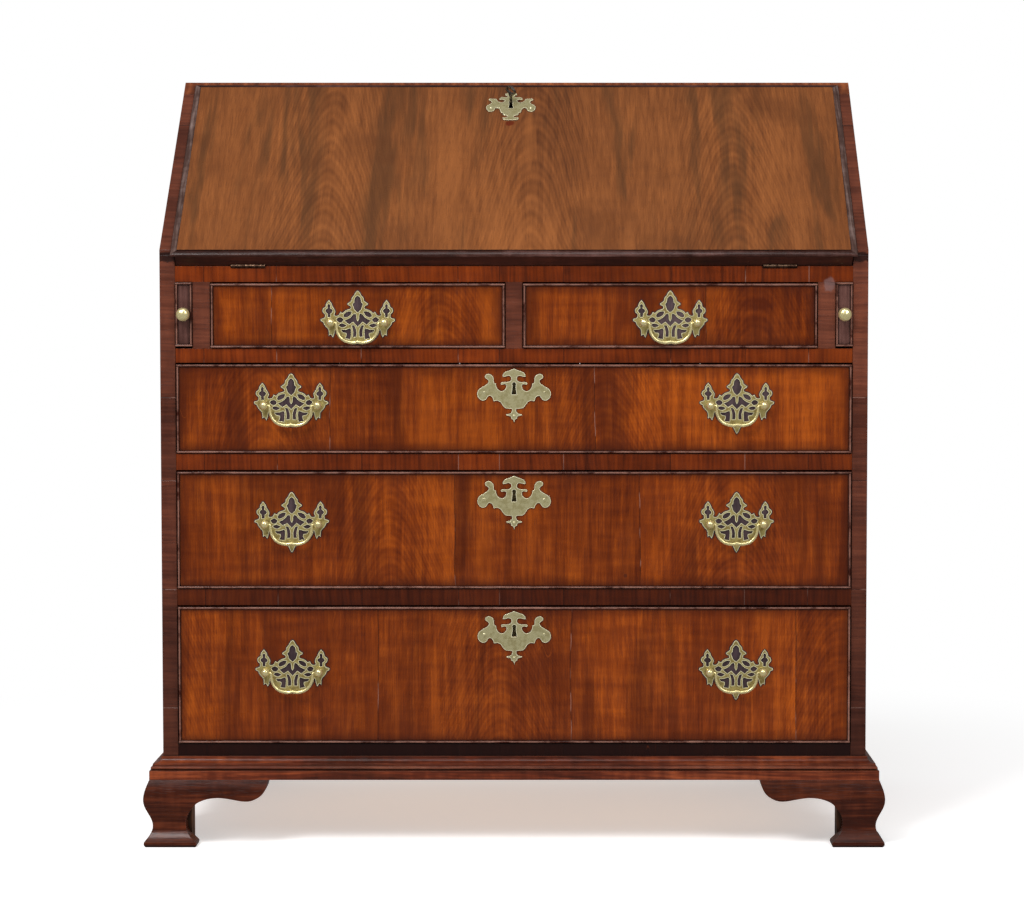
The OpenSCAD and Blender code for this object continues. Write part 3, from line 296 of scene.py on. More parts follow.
    def ramp(self, value: object, stops: Sequence[tuple[float, Colour]]) -> NodeSocket:
        """Turns a number into a colour by its place between stops.

        Args:
            value: The number.
            stops: Places and their colours, from low to high.

        Returns:
            The colour's socket.
        """
        made = self.node("ShaderNodeValToRGB")
        self.join(value, made.inputs[0])
        bar = made.color_ramp
        while len(bar.elements) < len(stops):
            bar.elements.new(0.5)
        for mark, (at, colour) in zip(bar.elements, stops):
            mark.position = at
            mark.color = (*colour, 1.0)
        return made.outputs[0]

    def crevices(self, reach: float, inside: bool = False) -> NodeSocket:
        """Gives 0 deep in corners, or within sharp arrises, and 1 in the open.

        Args:
            reach: How far it looks, in metres.
            inside: Whether it looks into the piece for arrises.

        Returns:
            The value's socket.
        """
        made = self.node("ShaderNodeAmbientOcclusion", samples=6, inside=inside,
                         only_local=inside)
        made.inputs["Distance"].default_value = reach
        return made.outputs["AO"]

    def shade(self, colour: object, roughness: object, height: NodeSocket | None,
              depth: float, glow: NodeSocket | None = None, **fixed: float) -> Material:
        """Ends the tree in one principled shader.

        Args:
            colour: Base colour.
            roughness: Roughness.
            height: What drives the bump, if anything.
            depth: How deep the bump is, in metres.
            glow: Colour of its own light, if any.
            **fixed: Constant sockets by name, with _ for spaces.

        Returns:
            The finished material.
        """
        skin = self.node("ShaderNodeBsdfPrincipled")
        self.join(colour, skin.inputs["Base Color"])
        self.join(roughness, skin.inputs["Roughness"])
        if glow is not None:
            self.join(glow, skin.inputs["Emission Color"])
        for key, value in fixed.items():
            skin.inputs[key.replace("_", " ")].default_value = value
        if height is not None:
            bump = self.node("ShaderNodeBump")
            bump.inputs["Strength"].default_value = 0.8
            bump.inputs["Distance"].default_value = depth
            self.join(height, bump.inputs["Height"])
            self.join(bump.outputs[0], skin.inputs["Normal"])
        out = self.node("ShaderNodeOutputMaterial")
        self.join(skin.outputs[0], out.inputs[0])
        return self.material


# ------------------------------------------------------------------ finishes


class Grain(Enum):
    """Which way a board's grain runs."""

    ACROSS = "across"
    DEEP = "deep"
    UP = "up"
    SLOPE = "slope"


@dataclass(frozen=True)
class Mark:
    """A stain, plug, scorch or painted shadow on a face, soft at its edge.

    Attributes:
        x: Its place across the desk, in metres.
        z: Its height.
        wide: Half its width.
        high: Half its height.
        colour: Its colour.
        strength: How much it hides, 0 to 1.
    """

    x: float
    z: float
    wide: float
    high: float
    colour: Colour
    strength: float = 0.7


@dataclass(frozen=True)
class Wood:
    """A timber and its polish.

    Attributes:
        name: The material's name.
        light: Colour of the palest figure.
        mid: Its usual colour.
        dark: Colour of its dark lines.
        stain: Colour of its broad dark streaks.
        grain: Which way the grain runs.
        seed: Shifts the figure, so that boards differ.
        streaks: Strength of the broad streaks, 0 to 1.
        streak_scale: Streaks per metre across the grain.
        figure: Strength of the growth lines, 0 to 1.
        flame: Half the distance between arched flames in metres, or 0 for straight grain.
        flame_at: Where across the grain a flame is centred, in metres.
        taper: How quickly the flames close along the grain.
        ripple: Strength of the short bands across the grain.
        gloss: Roughness of the polish.
        coat: Weight of the wax coat.
        dirt_and_shade: How dark the painted shade in corners and creases is.
        joints: Places across x of veneer joints, in metres.
        frame_box: Low x, low z, high x and high z of a field darkened at its edges.
        band: Length of a crossbanding leaf in metres, or 0.
        band_axis: Axis along which the leaves follow each other: 0 for x or 2 for z.
        scratches: Strength of fine pale scratches.
        crest: Place in y in front of which a bead is painted pale, as wear and as a highlight
            along its crest, or None.
        marks: Stains, plugs and painted shadows.
        low_shade: How dark the painted shade is near the floor, which fades upward.
        fine: Strength of the narrow streaks.
    """

    name: str
    light: Colour
    mid: Colour
    dark: Colour
    stain: Colour
    grain: Grain = Grain.UP
    seed: float = 0.0
    streaks: float = 0.4
    streak_scale: float = 16.0
    figure: float = 0.16
    flame: float = 0.0
    flame_at: float = 0.0
    taper: float = 0.3
    ripple: float = 0.25
    gloss: float = 0.3
    coat: float = 0.05
    dirt_and_shade: float = 0.8
    joints: tuple[float, ...] = ()
    frame_box: tuple[float, float, float, float] | None = None
    band: float = 0.0
    band_axis: int = 0
    scratches: float = 0.3
    crest: float | None = None
    marks: tuple[Mark, ...] = ()
    low_shade: float = 0.0
    fine: float = 0.34

    def material(self) -> Material:
        """Builds the timber as a node material.

        Returns:
            The material.
        """
        g = Graph(self.name)
        here = g.node("ShaderNodeTexCoord").outputs["Object"]
        x, y, z = g.split(here)
        leaf, seam = self._leaves(g, here, x, z)
        a, b, along = self._grain_axes(g, here, leaf)
        stretch = g.vector(a, b, g.times(along, 0.11))
        drawn_out = g.vector(g.times(a, 6.0), g.times(b, 6.0), g.times(along, 3.0))
        wander = g.noise(drawn_out, 1.0, 3.0, 0.5)
        rings = self._rings(g, a, along, wander)
        broad = g.noise(stretch, self.streak_scale, 3.0, 0.6, 0.5)
        middle = g.noise(stretch, self.streak_scale * 5.0, 3.0, 0.6)
        fibre = g.noise(g.vector(a, b, g.times(along, 0.02)), 480.0, 3.0, 0.7)
        pores = g.noise(g.vector(a, b, g.times(along, 0.045)), 1200.0, 1.0, 0.4)
        bands = g.noise(g.vector(g.times(a, 16.0), g.times(b, 16.0),
                                 g.times(along, 85.0)), 1.0, 2.0, 0.5)
        tone: NodeSocket | float = 0.5
        for part, weight in ((rings, self.figure), (middle, self.fine),
                             (fibre, 0.75 * self.fine), (bands, self.ripple),
                             (wander, 0.5)):
            tone = g.add(tone, g.sway(part, weight))
        colour = g.ramp(tone, ((0.3, self.dark), (0.5, self.mid), (0.72, self.light)))
        colour = g.mix(g.span(broad, 0.5, 0.68, 0.0, self.streaks), colour, self.stain)
        colour = g.mix(g.span(broad, 0.46, 0.3, 0.0, 0.6 * self.streaks + 0.1), colour, self.light)
        pore = g.span(pores, 0.6, 0.72, 0.0, 0.4)
        colour = g.mix(pore, colour, self.dark)
        colour = self._aged(g, here, colour, leaf, seam, x, z)
        # Wear and painted highlight: the front of a bead is lightened in a broken line.
        if self.crest is not None:
            crest_wear_and_highlight = g.span(y, self.crest, self.crest - 0.0006, 0.0, 0.6)
            crest_wear_and_highlight = g.times(crest_wear_and_highlight, g.span(g.noise(here, 45.0, 4.0, 0.7), 0.36, 0.56))
            colour = g.mix(crest_wear_and_highlight, colour, self.light)
        rough = g.add(self.gloss, g.sway(g.noise(here, 34.0, 3.0), 0.2))
        rough = g.add(rough, g.times(pore, 0.3), clamp=True)
        height = g.less(g.times(fibre, 0.35), g.times(pore, 0.9))
        height = g.add(height, g.times(g.noise(here, 9.0, 2.0), 1.6))
        height = g.less(height, g.times(seam, 1.5))
        return g.shade(colour, rough, height, 0.00022, Coat_Weight=self.coat,
                       Coat_Roughness=0.16, Specular_IOR_Level=0.15)

    def _leaves(self, g: Graph, here: NodeSocket, x: NodeSocket, z: NodeSocket
                ) -> tuple[object, object]:
        """Numbers the veneer leaves and finds the thin seams between them.

        Args:
            g: The tree.
            here: Place in the desk's own frame.
            x: Place across the desk.
            z: Height.

        Returns:
            The leaf's number and the seam's strength.
        """
        if self.band:
            run = g.math("DIVIDE", x if self.band_axis == 0 else z, self.band)
            cells = g.node("ShaderNodeTexVoronoi", voronoi_dimensions="1D", feature="F1")
            edges = g.node("ShaderNodeTexVoronoi", voronoi_dimensions="1D",
                           feature="DISTANCE_TO_EDGE")
            for made in (cells, edges):
                g.join(g.add(run, self.seed), made.inputs["W"])
                made.inputs["Scale"].default_value = 1.0
            seam = g.span(edges.outputs["Distance"], 0.0009 / self.band, 0.0002 / self.band)
            return cells.outputs["W"], seam
        leaf: object = 0.0
        seam: object = 0.0
        if self.joints:
            bend = g.sway(g.noise(here, 13.0, 3.0), 0.008)
            x = g.add(x, bend)
        for joint in self.joints:
            leaf = g.add(leaf, g.math("GREATER_THAN", x, joint))
            gap = g.math("ABSOLUTE", g.less(x, joint))
            seam = g.math("MAXIMUM", seam, g.span(gap, 0.0008, 0.0003))
        return leaf, seam

    def _grain_axes(self, g: Graph, here: NodeSocket, leaf: object
                    ) -> tuple[NodeSocket, NodeSocket, NodeSocket]:
        """Gives the two places across the grain and the one along it.

        Args:
            g: The tree.
            here: Place in the desk's own frame.
            leaf: The veneer leaf's number.

        Returns:
            Across, through and along the grain, in metres.
        """
        if self.grain is Grain.SLOPE:
            here = g.place(here, turn=(-SLOPE, 0, 0))
        x, y, z = g.split(here)
        across, through, along = {
            Grain.ACROSS: (z, y, x),
            Grain.DEEP: (x, z, y),
            Grain.UP: (x, y, z),
            Grain.SLOPE: (x, z, y),
        }[self.grain]
        shift = g.add(g.times(g.chance(leaf), 3.7), self.seed)
        return across, g.add(through, shift), g.add(along, shift)

    def _rings(self, g: Graph, a: NodeSocket, along: NodeSocket, wander: NodeSocket
               ) -> NodeSocket:
        """Draws growth lines: arched at each flame, near straight elsewhere.

        Args:
            g: The tree.
            a: Place across the grain.
            along: Place along the grain.
            wander: Slow noise that bends the lines.

        Returns:
            Line strength from 0 to 1.
        """
        drift = g.sway(wander, 0.05)
        if self.flame:
            side = g.math("PINGPONG", g.less(a, self.flame_at), self.flame)
            side = g.add(side, g.times(drift, 0.5))
            hill = g.math("SQRT", g.add(g.times(side, side), 0.0022))
            radius = g.add(hill, g.times(along, self.taper))
            radius = g.add(radius, g.times(drift, 0.3))
            near: NodeSocket | float = g.span(side, 0.045, 0.1, 1.0, 0.3)
            pitches = (300.0, 118.0)
        else:
            radius = g.add(g.add(a, drift), g.times(along, 0.03))
            near = 1.0
            pitches = (170.0, 61.0)
        wave = g.math("SINE", g.times(radius, 2.0 * math.pi * pitches[0]))
        other = g.math("SINE", g.times(radius, 2.0 * math.pi * pitches[1]))
        both = g.add(g.times(wave, 0.24), g.times(other, 0.26))
        return g.add(g.times(both, near), 0.5, clamp=True)

    def _aged(self, g: Graph, here: NodeSocket, colour: NodeSocket, leaf: object, seam: object,
              x: NodeSocket, z: NodeSocket) -> NodeSocket:
        """Adds leaf differences, seams, painted shade towards the floor, darkening at a field's
        edges, marks, scratches and painted shade in corners and creases.

        Args:
            g: The tree.
            here: Place in the desk's own frame.
            colour: The timber's colour so far.
            leaf: The veneer leaf's number.
            seam: Strength of the seam here.
            x: Place across the desk.
            z: Height.

        Returns:
            The aged colour.
        """
        patch = g.noise(here, 6.5, 3.0, 0.6)
        colour = g.mix(g.span(patch, 0.52, 0.72, 0.0, 0.5), colour, self.dark)
        if self.band or self.joints:
            tone = g.span(g.chance(g.add(leaf, 11.0)), 0.0, 1.0, 0.86, 1.08, False)
            colour = g.mix(1.0, colour, g.vector(tone, tone, tone), "MULTIPLY")
            filler = g.mix(g.span(g.noise(here, 24.0, 2.0), 0.5, 0.6), rgb(34, 14, 9),
                           rgb(132, 96, 84))
            colour = g.mix(g.times(seam, 0.6), colour, filler)
        # Painted shade: darker towards the floor, where the drawers shade the rails below them.
        if self.low_shade:
            deep = g.span(z, 0.12, 0.66, self.low_shade, 0.0)
            colour = g.mix(deep, colour, rgb(22, 9, 8))
        if self.frame_box:
            x0, z0, x1, z1 = self.frame_box
            near = g.math("MINIMUM", g.less(x, x0), g.less(x1, x))
            near = g.math("MINIMUM", near, g.less(z, z0))
            near = g.math("MINIMUM", near, g.less(z1, z))
            near = g.add(near, g.sway(g.noise(here, 26.0, 3.0), 0.018))
            colour = g.mix(g.span(near, 0.0, 0.016, 0.55, 0.0), colour, self.stain)
        for mark in self.marks:
            dx = g.math("DIVIDE", g.less(x, mark.x), mark.wide)
            dz = g.math("DIVIDE", g.less(z, mark.z), mark.high)
            far = g.length(dx, dz)
            far = g.add(far, g.less(g.noise(here, 120.0, 3.0), 0.5))
            colour = g.mix(g.span(far, 1.1, 0.7, 0.0, mark.strength), colour, mark.colour)
        if self.scratches:
            lines = g.noise(g.place(here, (1.0, 1.0, 0.35), (0.5, 0.4, 0.7)), 9.0, 2.0, 0.6, 1.2)
            hair = g.span(g.math("ABSOLUTE", g.less(lines, 0.5)), 0.0014, 0.0)
            rare = g.span(g.noise(here, 17.0, 2.0), 0.58, 0.7)
            colour = g.mix(g.times(g.times(hair, rare), self.scratches),
                           colour, self.light)
        # Painted shade: darker in corners and creases, by how closed in each point is.
        shadow = g.span(g.crevices(0.006), 0.5, 0.93, self.dirt_and_shade, 0.0)
        return g.mix(shadow, colour, rgb(24, 12, 9))


@dataclass(frozen=True)
class Metal:
    """A cast or sheet metal and its patina.

    Attributes:
        name: The material's name.
        bright: Colour where it is worn bright.
        dull: Colour where it has toned.
        toning: How much of it has toned, 0 to 1.
        gloss: Roughness.
        pits: Depth of its surface, in metres.
        metallic: 1 for bare metal.
        rim: Width of the pale arrises in metres, or 0, painted as wear and as highlight.
        rim_wear_and_highlight: Their colour.
    """

    name: str
    bright: Colour
    dull: Colour
    toning: float = 0.5
    gloss: float = 0.3
    pits: float = 0.00008
    metallic: float = 1.0
    rim: float = 0.0
    rim_wear_and_highlight: Colour = (1.0, 1.0, 1.0, 1.0)

    def material(self) -> Material:
        """Builds the metal as a node material.

        Returns:
            The material.
        """
        g = Graph(self.name)
        here = g.node("ShaderNodeTexCoord").outputs["Object"]
        cloud = g.noise(here, 160.0, 4.0, 0.6)
        fine = g.noise(here, 900.0, 3.0, 0.6)
        toned = g.add(g.span(cloud, 0.42, 0.62), g.sway(fine, 0.6))
        toned = g.times(toned, self.toning, clamp=True)
        colour = g.mix(toned, self.bright, self.dull)
        # Wear and painted highlight: the arrises are painted pale, near white on the plates.
        if self.rim:
            rim = g.span(g.crevices(self.rim, True), 0.72, 0.97, 1.0, 0.0)
            colour = g.mix(rim, colour, self.rim_wear_and_highlight)
        nook = g.span(g.crevices(0.002), 0.3, 0.85, 0.65, 0.0)
        colour = g.mix(nook, colour, tuple(0.3 * c for c in self.dull))
        rough = g.add(self.gloss, g.times(toned, 0.22))
        height = g.add(g.times(fine, 0.4), cloud)
        return g.shade(colour, rough, height, self.pits, Metallic=self.metallic)


Finish = Wood | Metal


class Finishes:
    """Every finish on the desk, built once each and handed out by name."""

    SCORCH = Mark(-0.009, 1.0005, 0.007, 0.004, rgb(84, 24, 8), 0.8)
    FALL = Wood("fall_veneer", rgb(138, 82, 42), rgb(110, 63, 32), rgb(80, 44, 23),
                rgb(66, 43, 26), Grain.SLOPE, 0.35, 0.62, 26.0, 0.15, 0.142, -0.262, 0.17,
                0.05, scratches=0.2, marks=(SCORCH,), fine=0.4)
    DRAWER_LIGHT = rgb(150, 70, 11)
    DRAWER_MID = rgb(110, 45, 6)
    DRAWER_DARK = rgb(76, 26, 5)
    DRAWER_STAIN = rgb(57, 18, 5)
    SMEAR = Mark(0.430, 0.7690, 0.009, 0.011, rgb(110, 92, 92), 0.45)
    # The rails, and the stiles less so, darken towards the floor with painted shade.
    BAND = Wood("crossbanded_rails", rgb(122, 50, 8), rgb(100, 37, 5), rgb(68, 23, 4),
                rgb(54, 18, 4), Grain.UP, 4.1, 0.35, 30.0, band=0.1, marks=(SMEAR,),
                low_shade=0.96)
    STILE = Wood("crossbanded_edges", rgb(108, 58, 40), rgb(84, 43, 30), rgb(58, 27, 18),
                 rgb(46, 22, 16), Grain.ACROSS, 7.9, 0.4, 34.0, 0.1, band=0.16, band_axis=2,
                 # Painted shadow: dark patches on the side edges just below the fall's lip.
                 marks=(Mark(-0.472, 0.806, 0.03, 0.007, rgb(24, 13, 12), 0.85),
                        Mark(0.472, 0.806, 0.03, 0.007, rgb(24, 13, 12), 0.85), SMEAR),
                 low_shade=0.4)
    LOPER = Wood("loper_fronts", rgb(112, 78, 70), rgb(86, 56, 50), rgb(56, 32, 27),
                 rgb(46, 26, 22), Grain.UP, 9.3, 0.3, 40.0, 0.1)
    SIDE = Wood("side_boards", rgb(150, 78, 38), rgb(112, 54, 26), rgb(70, 30, 16),
                rgb(56, 24, 14), Grain.UP, 12.4, 0.5, 12.0, 0.2, 0.21, 0.02)
    TOP = Wood("top_boards", rgb(140, 78, 44), rgb(102, 52, 30), rgb(60, 28, 17),
               rgb(48, 22, 15), Grain.ACROSS, 21.0, 0.45, 14.0, 0.2, 0.16, 0.1)
    MOULDING = Wood("moulded_mahogany", rgb(142, 68, 34), rgb(86, 34, 16), rgb(44, 17, 9),
                    rgb(38, 16, 12), Grain.ACROSS, 31.0, 0.4, 40.0, 0.12, gloss=0.3,
                    coat=0.15)
    RETURN = replace(MOULDING, name="moulded_returns", grain=Grain.DEEP, seed=33.0)
    # Wear and painted highlight: the arrises of the base and feet are pale, as worn polish and as
    # light catching them.
    ARRIS_WEAR_AND_HIGHLIGHT = Wood("worn_arris_and_highlight", rgb(150, 96, 72), rgb(104, 60, 44), rgb(56, 28, 20),
                rgb(44, 22, 17), Grain.ACROSS, 35.0, 0.5, 60.0, 0.1, gloss=0.32)
    FOOT = Wood("bracket_feet", rgb(92, 42, 22), rgb(55, 21, 10), rgb(32, 12, 7),
                rgb(27, 10, 6), Grain.ACROSS, 36.0, 0.4, 40.0, 0.12, gloss=0.24,
                coat=0.14)
    FOOT_SIDE = replace(FOOT, name="bracket_feet_sides", grain=Grain.DEEP, seed=38.0)
    # The beads' pale colour is painted at their crests, as wear and as highlight.
    BEAD = Wood("bead_mahogany", rgb(138, 98, 84), rgb(54, 19, 10), rgb(40, 17, 12),
                rgb(34, 14, 11), Grain.ACROSS, 41.0, 0.3, 60.0, 0.1, gloss=0.3,
                coat=0.15, crest=FRONT_Y - 0.0023)
    BEAD_UP = replace(BEAD, name="bead_mahogany_upright", grain=Grain.UP, seed=43.0)
    # Painted light on the lip: the level strips are dark as painted shade, and the pale greyish
    # tones, palest on the side strips, are painted highlight.
    LIP = Wood("fall_lip", rgb(92, 62, 56), rgb(50, 26, 20), rgb(28, 13, 10),
               rgb(22, 10, 8), Grain.ACROSS, 51.0, 0.4, 50.0, 0.1, gloss=0.24, coat=0.12)
    LIP_UP = Wood("fall_lip_sides", rgb(126, 106, 100), rgb(74, 54, 48), rgb(40, 25, 21),
                  rgb(28, 16, 13), Grain.SLOPE, 52.0, 0.4, 50.0, 0.1, gloss=0.24, coat=0.12)
    # Painted shade: the fall board's edges, the lower one under the lip most in view, are dark.
    EDGE = Wood("fall_edge_painted_shade", rgb(64, 27, 16), rgb(42, 16, 8), rgb(28, 11, 7),
                rgb(24, 10, 7), Grain.ACROSS, 55.0, 0.4, 40.0, 0.1)
    INNER = Wood("nest_mahogany", rgb(160, 90, 46), rgb(122, 64, 32), rgb(74, 36, 20),
                 rgb(60, 30, 18), Grain.ACROSS, 61.0, 0.35, 22.0, 0.2, gloss=0.44)
    INNER_UP = replace(INNER, name="nest_uprights", grain=Grain.UP, seed=63.0)
    WRITING = Wood("writing_surface", rgb(166, 100, 54), rgb(132, 74, 38), rgb(84, 44, 24),
                   rgb(68, 36, 22), Grain.ACROSS, 71.0, 0.4, 12.0, 0.2, 0.18, 0.05,
                   gloss=0.42, scratches=0.5)
    PINE = Wood("old_pine", rgb(196, 154, 102), rgb(166, 122, 76), rgb(122, 82, 46),
                rgb(106, 72, 44), Grain.ACROSS, 81.0, 0.3, 14.0, 0.5, 0.12, 0.0,
                ripple=0.05, gloss=0.62, coat=0.0, dirt_and_shade=0.45)
    PINE_UP = Wood("old_pine_upright", rgb(180, 138, 90), rgb(146, 104, 62), rgb(104, 70, 40),
                   rgb(92, 62, 38), Grain.UP, 83.0, 0.3, 14.0, 0.28, 0.12, 0.04,
                   ripple=0.05, gloss=0.66, coat=0.0, dirt_and_shade=0.5)
    PINE_DEEP = Wood("old_pine_runners", rgb(190, 148, 98), rgb(158, 114, 70),
                     rgb(114, 76, 44), rgb(100, 68, 42), Grain.DEEP, 85.0, 0.3, 14.0, 0.4,
                     ripple=0.05, gloss=0.62, coat=0.0, dirt_and_shade=0.45)
    OAK = Wood("oak_linings", rgb(182, 140, 90), rgb(150, 108, 64), rgb(106, 72, 40),
               rgb(92, 64, 38), Grain.DEEP, 91.0, 0.3, 26.0, 0.3, ripple=0.1, gloss=0.58,
               coat=0.0, dirt_and_shade=0.4)
    # The pale rims of the plates, and the pale brass of their rounded arrises just below, are
    # painted as wear and as highlight.
    BRASS = Metal("toned_brass", rgb(186, 170, 108), rgb(128, 110, 60), 0.8, 0.36,
                  metallic=0.7, rim=1.1 * MM, rim_wear_and_highlight=rgb(255, 248, 206))
    KEY_PLATE = Metal("key_plate_brass", rgb(184, 176, 134), rgb(136, 126, 84), 0.7, 0.38,
                      metallic=0.65, rim=1.1 * MM, rim_wear_and_highlight=rgb(255, 248, 214))
    BRASS_EDGE = Metal("pale_brass_wear_and_highlight", rgb(246, 238, 196), rgb(212, 198, 140), 0.4, 0.28,
                       metallic=0.7)
    BRASS_BALL = Metal("bright_brass", rgb(240, 226, 168), rgb(206, 186, 118), 0.35, 0.24,
                       0.00003, metallic=0.75)
    HINGE = Metal("dark_hinge_brass", rgb(132, 104, 84), rgb(58, 36, 28), 0.85, 0.36)
    LOCK = Metal("lock_brass", rgb(190, 164, 96), rgb(112, 88, 46), 0.7, 0.42)
    IRON = Metal("dark_iron", rgb(118, 110, 104), rgb(50, 45, 42), 0.85, 0.38, 0.00015)
    BLOCK = Wood("stained_blocks", rgb(92, 60, 38), rgb(64, 40, 25), rgb(42, 25, 16),
                 rgb(36, 22, 15), Grain.UP, 95.0, 0.3, 14.0, 0.4, ripple=0.05, gloss=0.6,
                 coat=0.0)
    # Old wax and painted shadow: the dark film under and round the brass plates.
    WAX_AND_SHADOW = Wood("dark_wax", rgb(88, 72, 74), rgb(62, 48, 52), rgb(36, 25, 28),
                 rgb(26, 18, 20), Grain.UP, 97.0, 0.3, 60.0, 0.0, gloss=0.5, coat=0.0,
                 dirt_and_shade=0.3, scratches=0.0)

    def __init__(self) -> None:
        """Starts with nothing built."""
        self._built: dict[str, Material] = {}

    def get(self, finish: Finish) -> Material:
        """Builds a finish the first time it is asked for.

        Args:
            finish: The finish.

        Returns:
            Its material.
        """
        if finish.name not in self._built:
            self._built[finish.name] = finish.material()
        return self._built[finish.name]

    def all(self, *finishes: Finish) -> list[Material]:
        """Gives the materials of several finishes in order."""
        return [self.get(finish) for finish in finishes]

    def drawer(self, name: str, face: tuple[float, float, float, float],
               joints: Sequence[float], seed: float, flame_at: float,
               marks: tuple[Mark, ...] = ()) -> Wood:
        """Veneer for one drawer, darkened towards its beads.

        Args:
            name: The drawer's name.
            face: Low x, low z, high x and high z of its face.
            joints: Where its veneer is joined, across x.
            seed: Shifts its figure.
            flame_at: Where a flame is centred, across x.
            marks: Its stains and plugs.

        Returns:
            The drawer's timber.
        """
        return Wood(name + "_veneer", self.DRAWER_LIGHT, self.DRAWER_MID, self.DRAWER_DARK,
                    self.DRAWER_STAIN, Grain.UP, seed, 0.55, 20.0, 0.11, 0.235, flame_at,
                    joints=tuple(joints), frame_box=face, marks=marks, fine=0.5)


FINISH = Finishes()


# ------------------------------------------------------------------ shaping


def island_faces(bm: bmesh.types.BMesh) -> list[list[bmesh.types.BMFace]]:
    """Sorts a mesh's faces into its separate solids.

    Args:
        bm: The mesh.

    Returns:
        One list of faces for each solid.
    """
    left = set(bm.faces)
    found = []
    while left:
        start = min(left, key=lambda f: f.index)
        left.discard(start)
        group, edge = [start], [start]
        while edge:
            for e in edge.pop().edges:
                for f in e.link_faces:
                    if f in left:
                        left.discard(f)
                        group.append(f)
                        edge.append(f)
        found.append(group)
    return found


def face_box(faces: Iterable[bmesh.types.BMFace]) -> tuple[Vector, Vector]:
    """Lowest and highest corner of some faces.

    Args:
        faces: The faces.

    Returns:
        The two corners.
    """
    points = [v.co for f in faces for v in f.verts]
    low = Vector(min(p[i] for p in points) for i in range(3))
    high = Vector(max(p[i] for p in points) for i in range(3))
    return low, high


def to_object(name: str, bm: bmesh.types.BMesh, finishes: Sequence[Material],
              sharp: float = 32.0) -> Object:
    """Turns a mesh into a scene object with even shading.

    Args:
        name: The object's name.
        bm: Its mesh, which is used up.
        finishes: Materials in slot order.
        sharp: Angle in degrees above which an edge stays sharp.

    Returns:
        The object.
    """
    mesh: Mesh = bpy.data.meshes.new(name)
    bmesh.ops.recalc_face_normals(bm, faces=bm.faces)
    bm.to_mesh(mesh)
    bm.free()
    mesh.shade_smooth()
    mesh.set_sharp_from_angle(angle=math.radians(sharp))
    for finish in finishes:
        mesh.materials.append(finish)
    made = bpy.data.objects.new(name, mesh)
    bpy.context.scene.collection.objects.link(made)
    even = made.modifiers.new("even_shading", "WEIGHTED_NORMAL")
    even.keep_sharp = True
    even.weight = 90
    return made


def cad_mesh(node: str, keep: Keep | None = None) -> bmesh.types.BMesh:
    """Copies a CAD node's mesh, joined up and without needless edges.

    Args:
        node: The node's name.
        keep: Says from a solid's box whether it stays in the copy.

    Returns:
        The copy.
    """
    bm = bmesh.new()
    bm.from_mesh(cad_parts[node].data)
    bmesh.ops.remove_doubles(bm, verts=bm.verts, dist=JOIN_WITHIN)
    if keep:
        bm.faces.index_update()
        for faces in island_faces(bm):
            if not keep(*face_box(faces)):
                bmesh.ops.delete(bm, geom=faces, context="FACES")
    bmesh.ops.dissolve_limit(bm, angle_limit=math.radians(0.4), verts=bm.verts,
                             edges=bm.edges)
    return bm


def soften(bm: bmesh.types.BMesh, width: float, segments: int = 2, slot: int = 0) -> None:
    """Rounds the arrises of a mesh.

    Args:
        bm: The mesh.
        width: Width of the rounding in metres.
        segments: How many strips it has.
        slot: Material slot of the new faces.
    """
    limit = math.radians(28.0)
    edges = [e for e in bm.edges if len(e.link_faces) == 2 and e.calc_face_angle(0.0) > limit]
    bmesh.ops.bevel(bm, geom=edges, offset=width, segments=segments, profile=0.5,
                    affect="EDGES", clamp_overlap=True, material=slot, loop_slide=True)


def paint(bm: bmesh.types.BMesh, pick: Rule) -> None:
    """Gives each face a material slot by its solid's box and its own direction.

    Args:
        bm: The mesh, whose rounded arrises have a slot of their own and keep it.
        pick: Takes the solid's low and high corners and a face, and gives the slot.
    """
    bm.faces.index_update()
    bm.normal_update()
    for faces in island_faces(bm):
        low, high = face_box(faces)
        for face in faces:
            if face.material_index == 0:
                face.material_index = pick(low, high, face)


def seat(piece: Object, body: str, node: str | None = None) -> None:
    """Fixes a piece to its body, hides the CAD node that it replaces, if any, and logs it.

    Args:
        piece: The piece.
        body: The CAD body that it rides on.
        node: The CAD node that it replaces, if any.
    """
    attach(piece, body)
    if node:
        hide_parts(node)
    LOG.info("%s rides on %s (%d faces)", piece.name, body, len(piece.data.polygons))


def dress(node: str, name: str, body: str, finishes: Sequence[Finish],
          arris: float, segments: int = 2, edge: int = 0, pick: Rule | None = None) -> None:
    """Softens a copy of a CAD node, gives it its finishes and seats it in the node's place.

    Args:
        node: The CAD node.
        name: The new piece's name.
        body: The CAD body that it rides on.
        finishes: Finishes in the order that pick counts them.
        arris: Width of the rounded arrises, in metres.
        segments: How many strips an arris has.
        edge: Which finish the arrises have.
        pick: Chooses a finish for each face, or None for the first one.
    """
    bm = cad_mesh(node)
    soften(bm, arris, segments, edge)
    if pick:
        paint(bm, pick)
    seat(to_object(name, bm, FINISH.all(*finishes)), body, node)


def lathe(profile: Sequence[tuple[float, float]], steps: int, where: Matrix
          ) -> bmesh.types.BMesh:
    """Turns a profile of (radius, height) about z and puts it in place.

    Args:
        profile: From one end of the axis to the other, in metres.
        steps: How many strips go round.
        where: Where the turned piece goes.

    Returns:
        The mesh.
    """
    bm = bmesh.new()
    rings = []
    for radius, height in profile:
        if radius < 1e-7:
            rings.append([bm.verts.new((0, 0, height))])
            continue
        rings.append([bm.verts.new((radius * math.cos(2 * math.pi * k / steps),
                                    radius * math.sin(2 * math.pi * k / steps), height))
                      for k in range(steps)])
    for lower, upper in zip(rings, rings[1:]):
        for k in range(steps):
            m = (k + 1) % steps
            corners = [lower[k % len(lower)], lower[m % len(lower)],
                       upper[m % len(upper)], upper[k % len(upper)]]
            bm.faces.new(list(dict.fromkeys(corners)))
    bm.transform(where)
    return bm


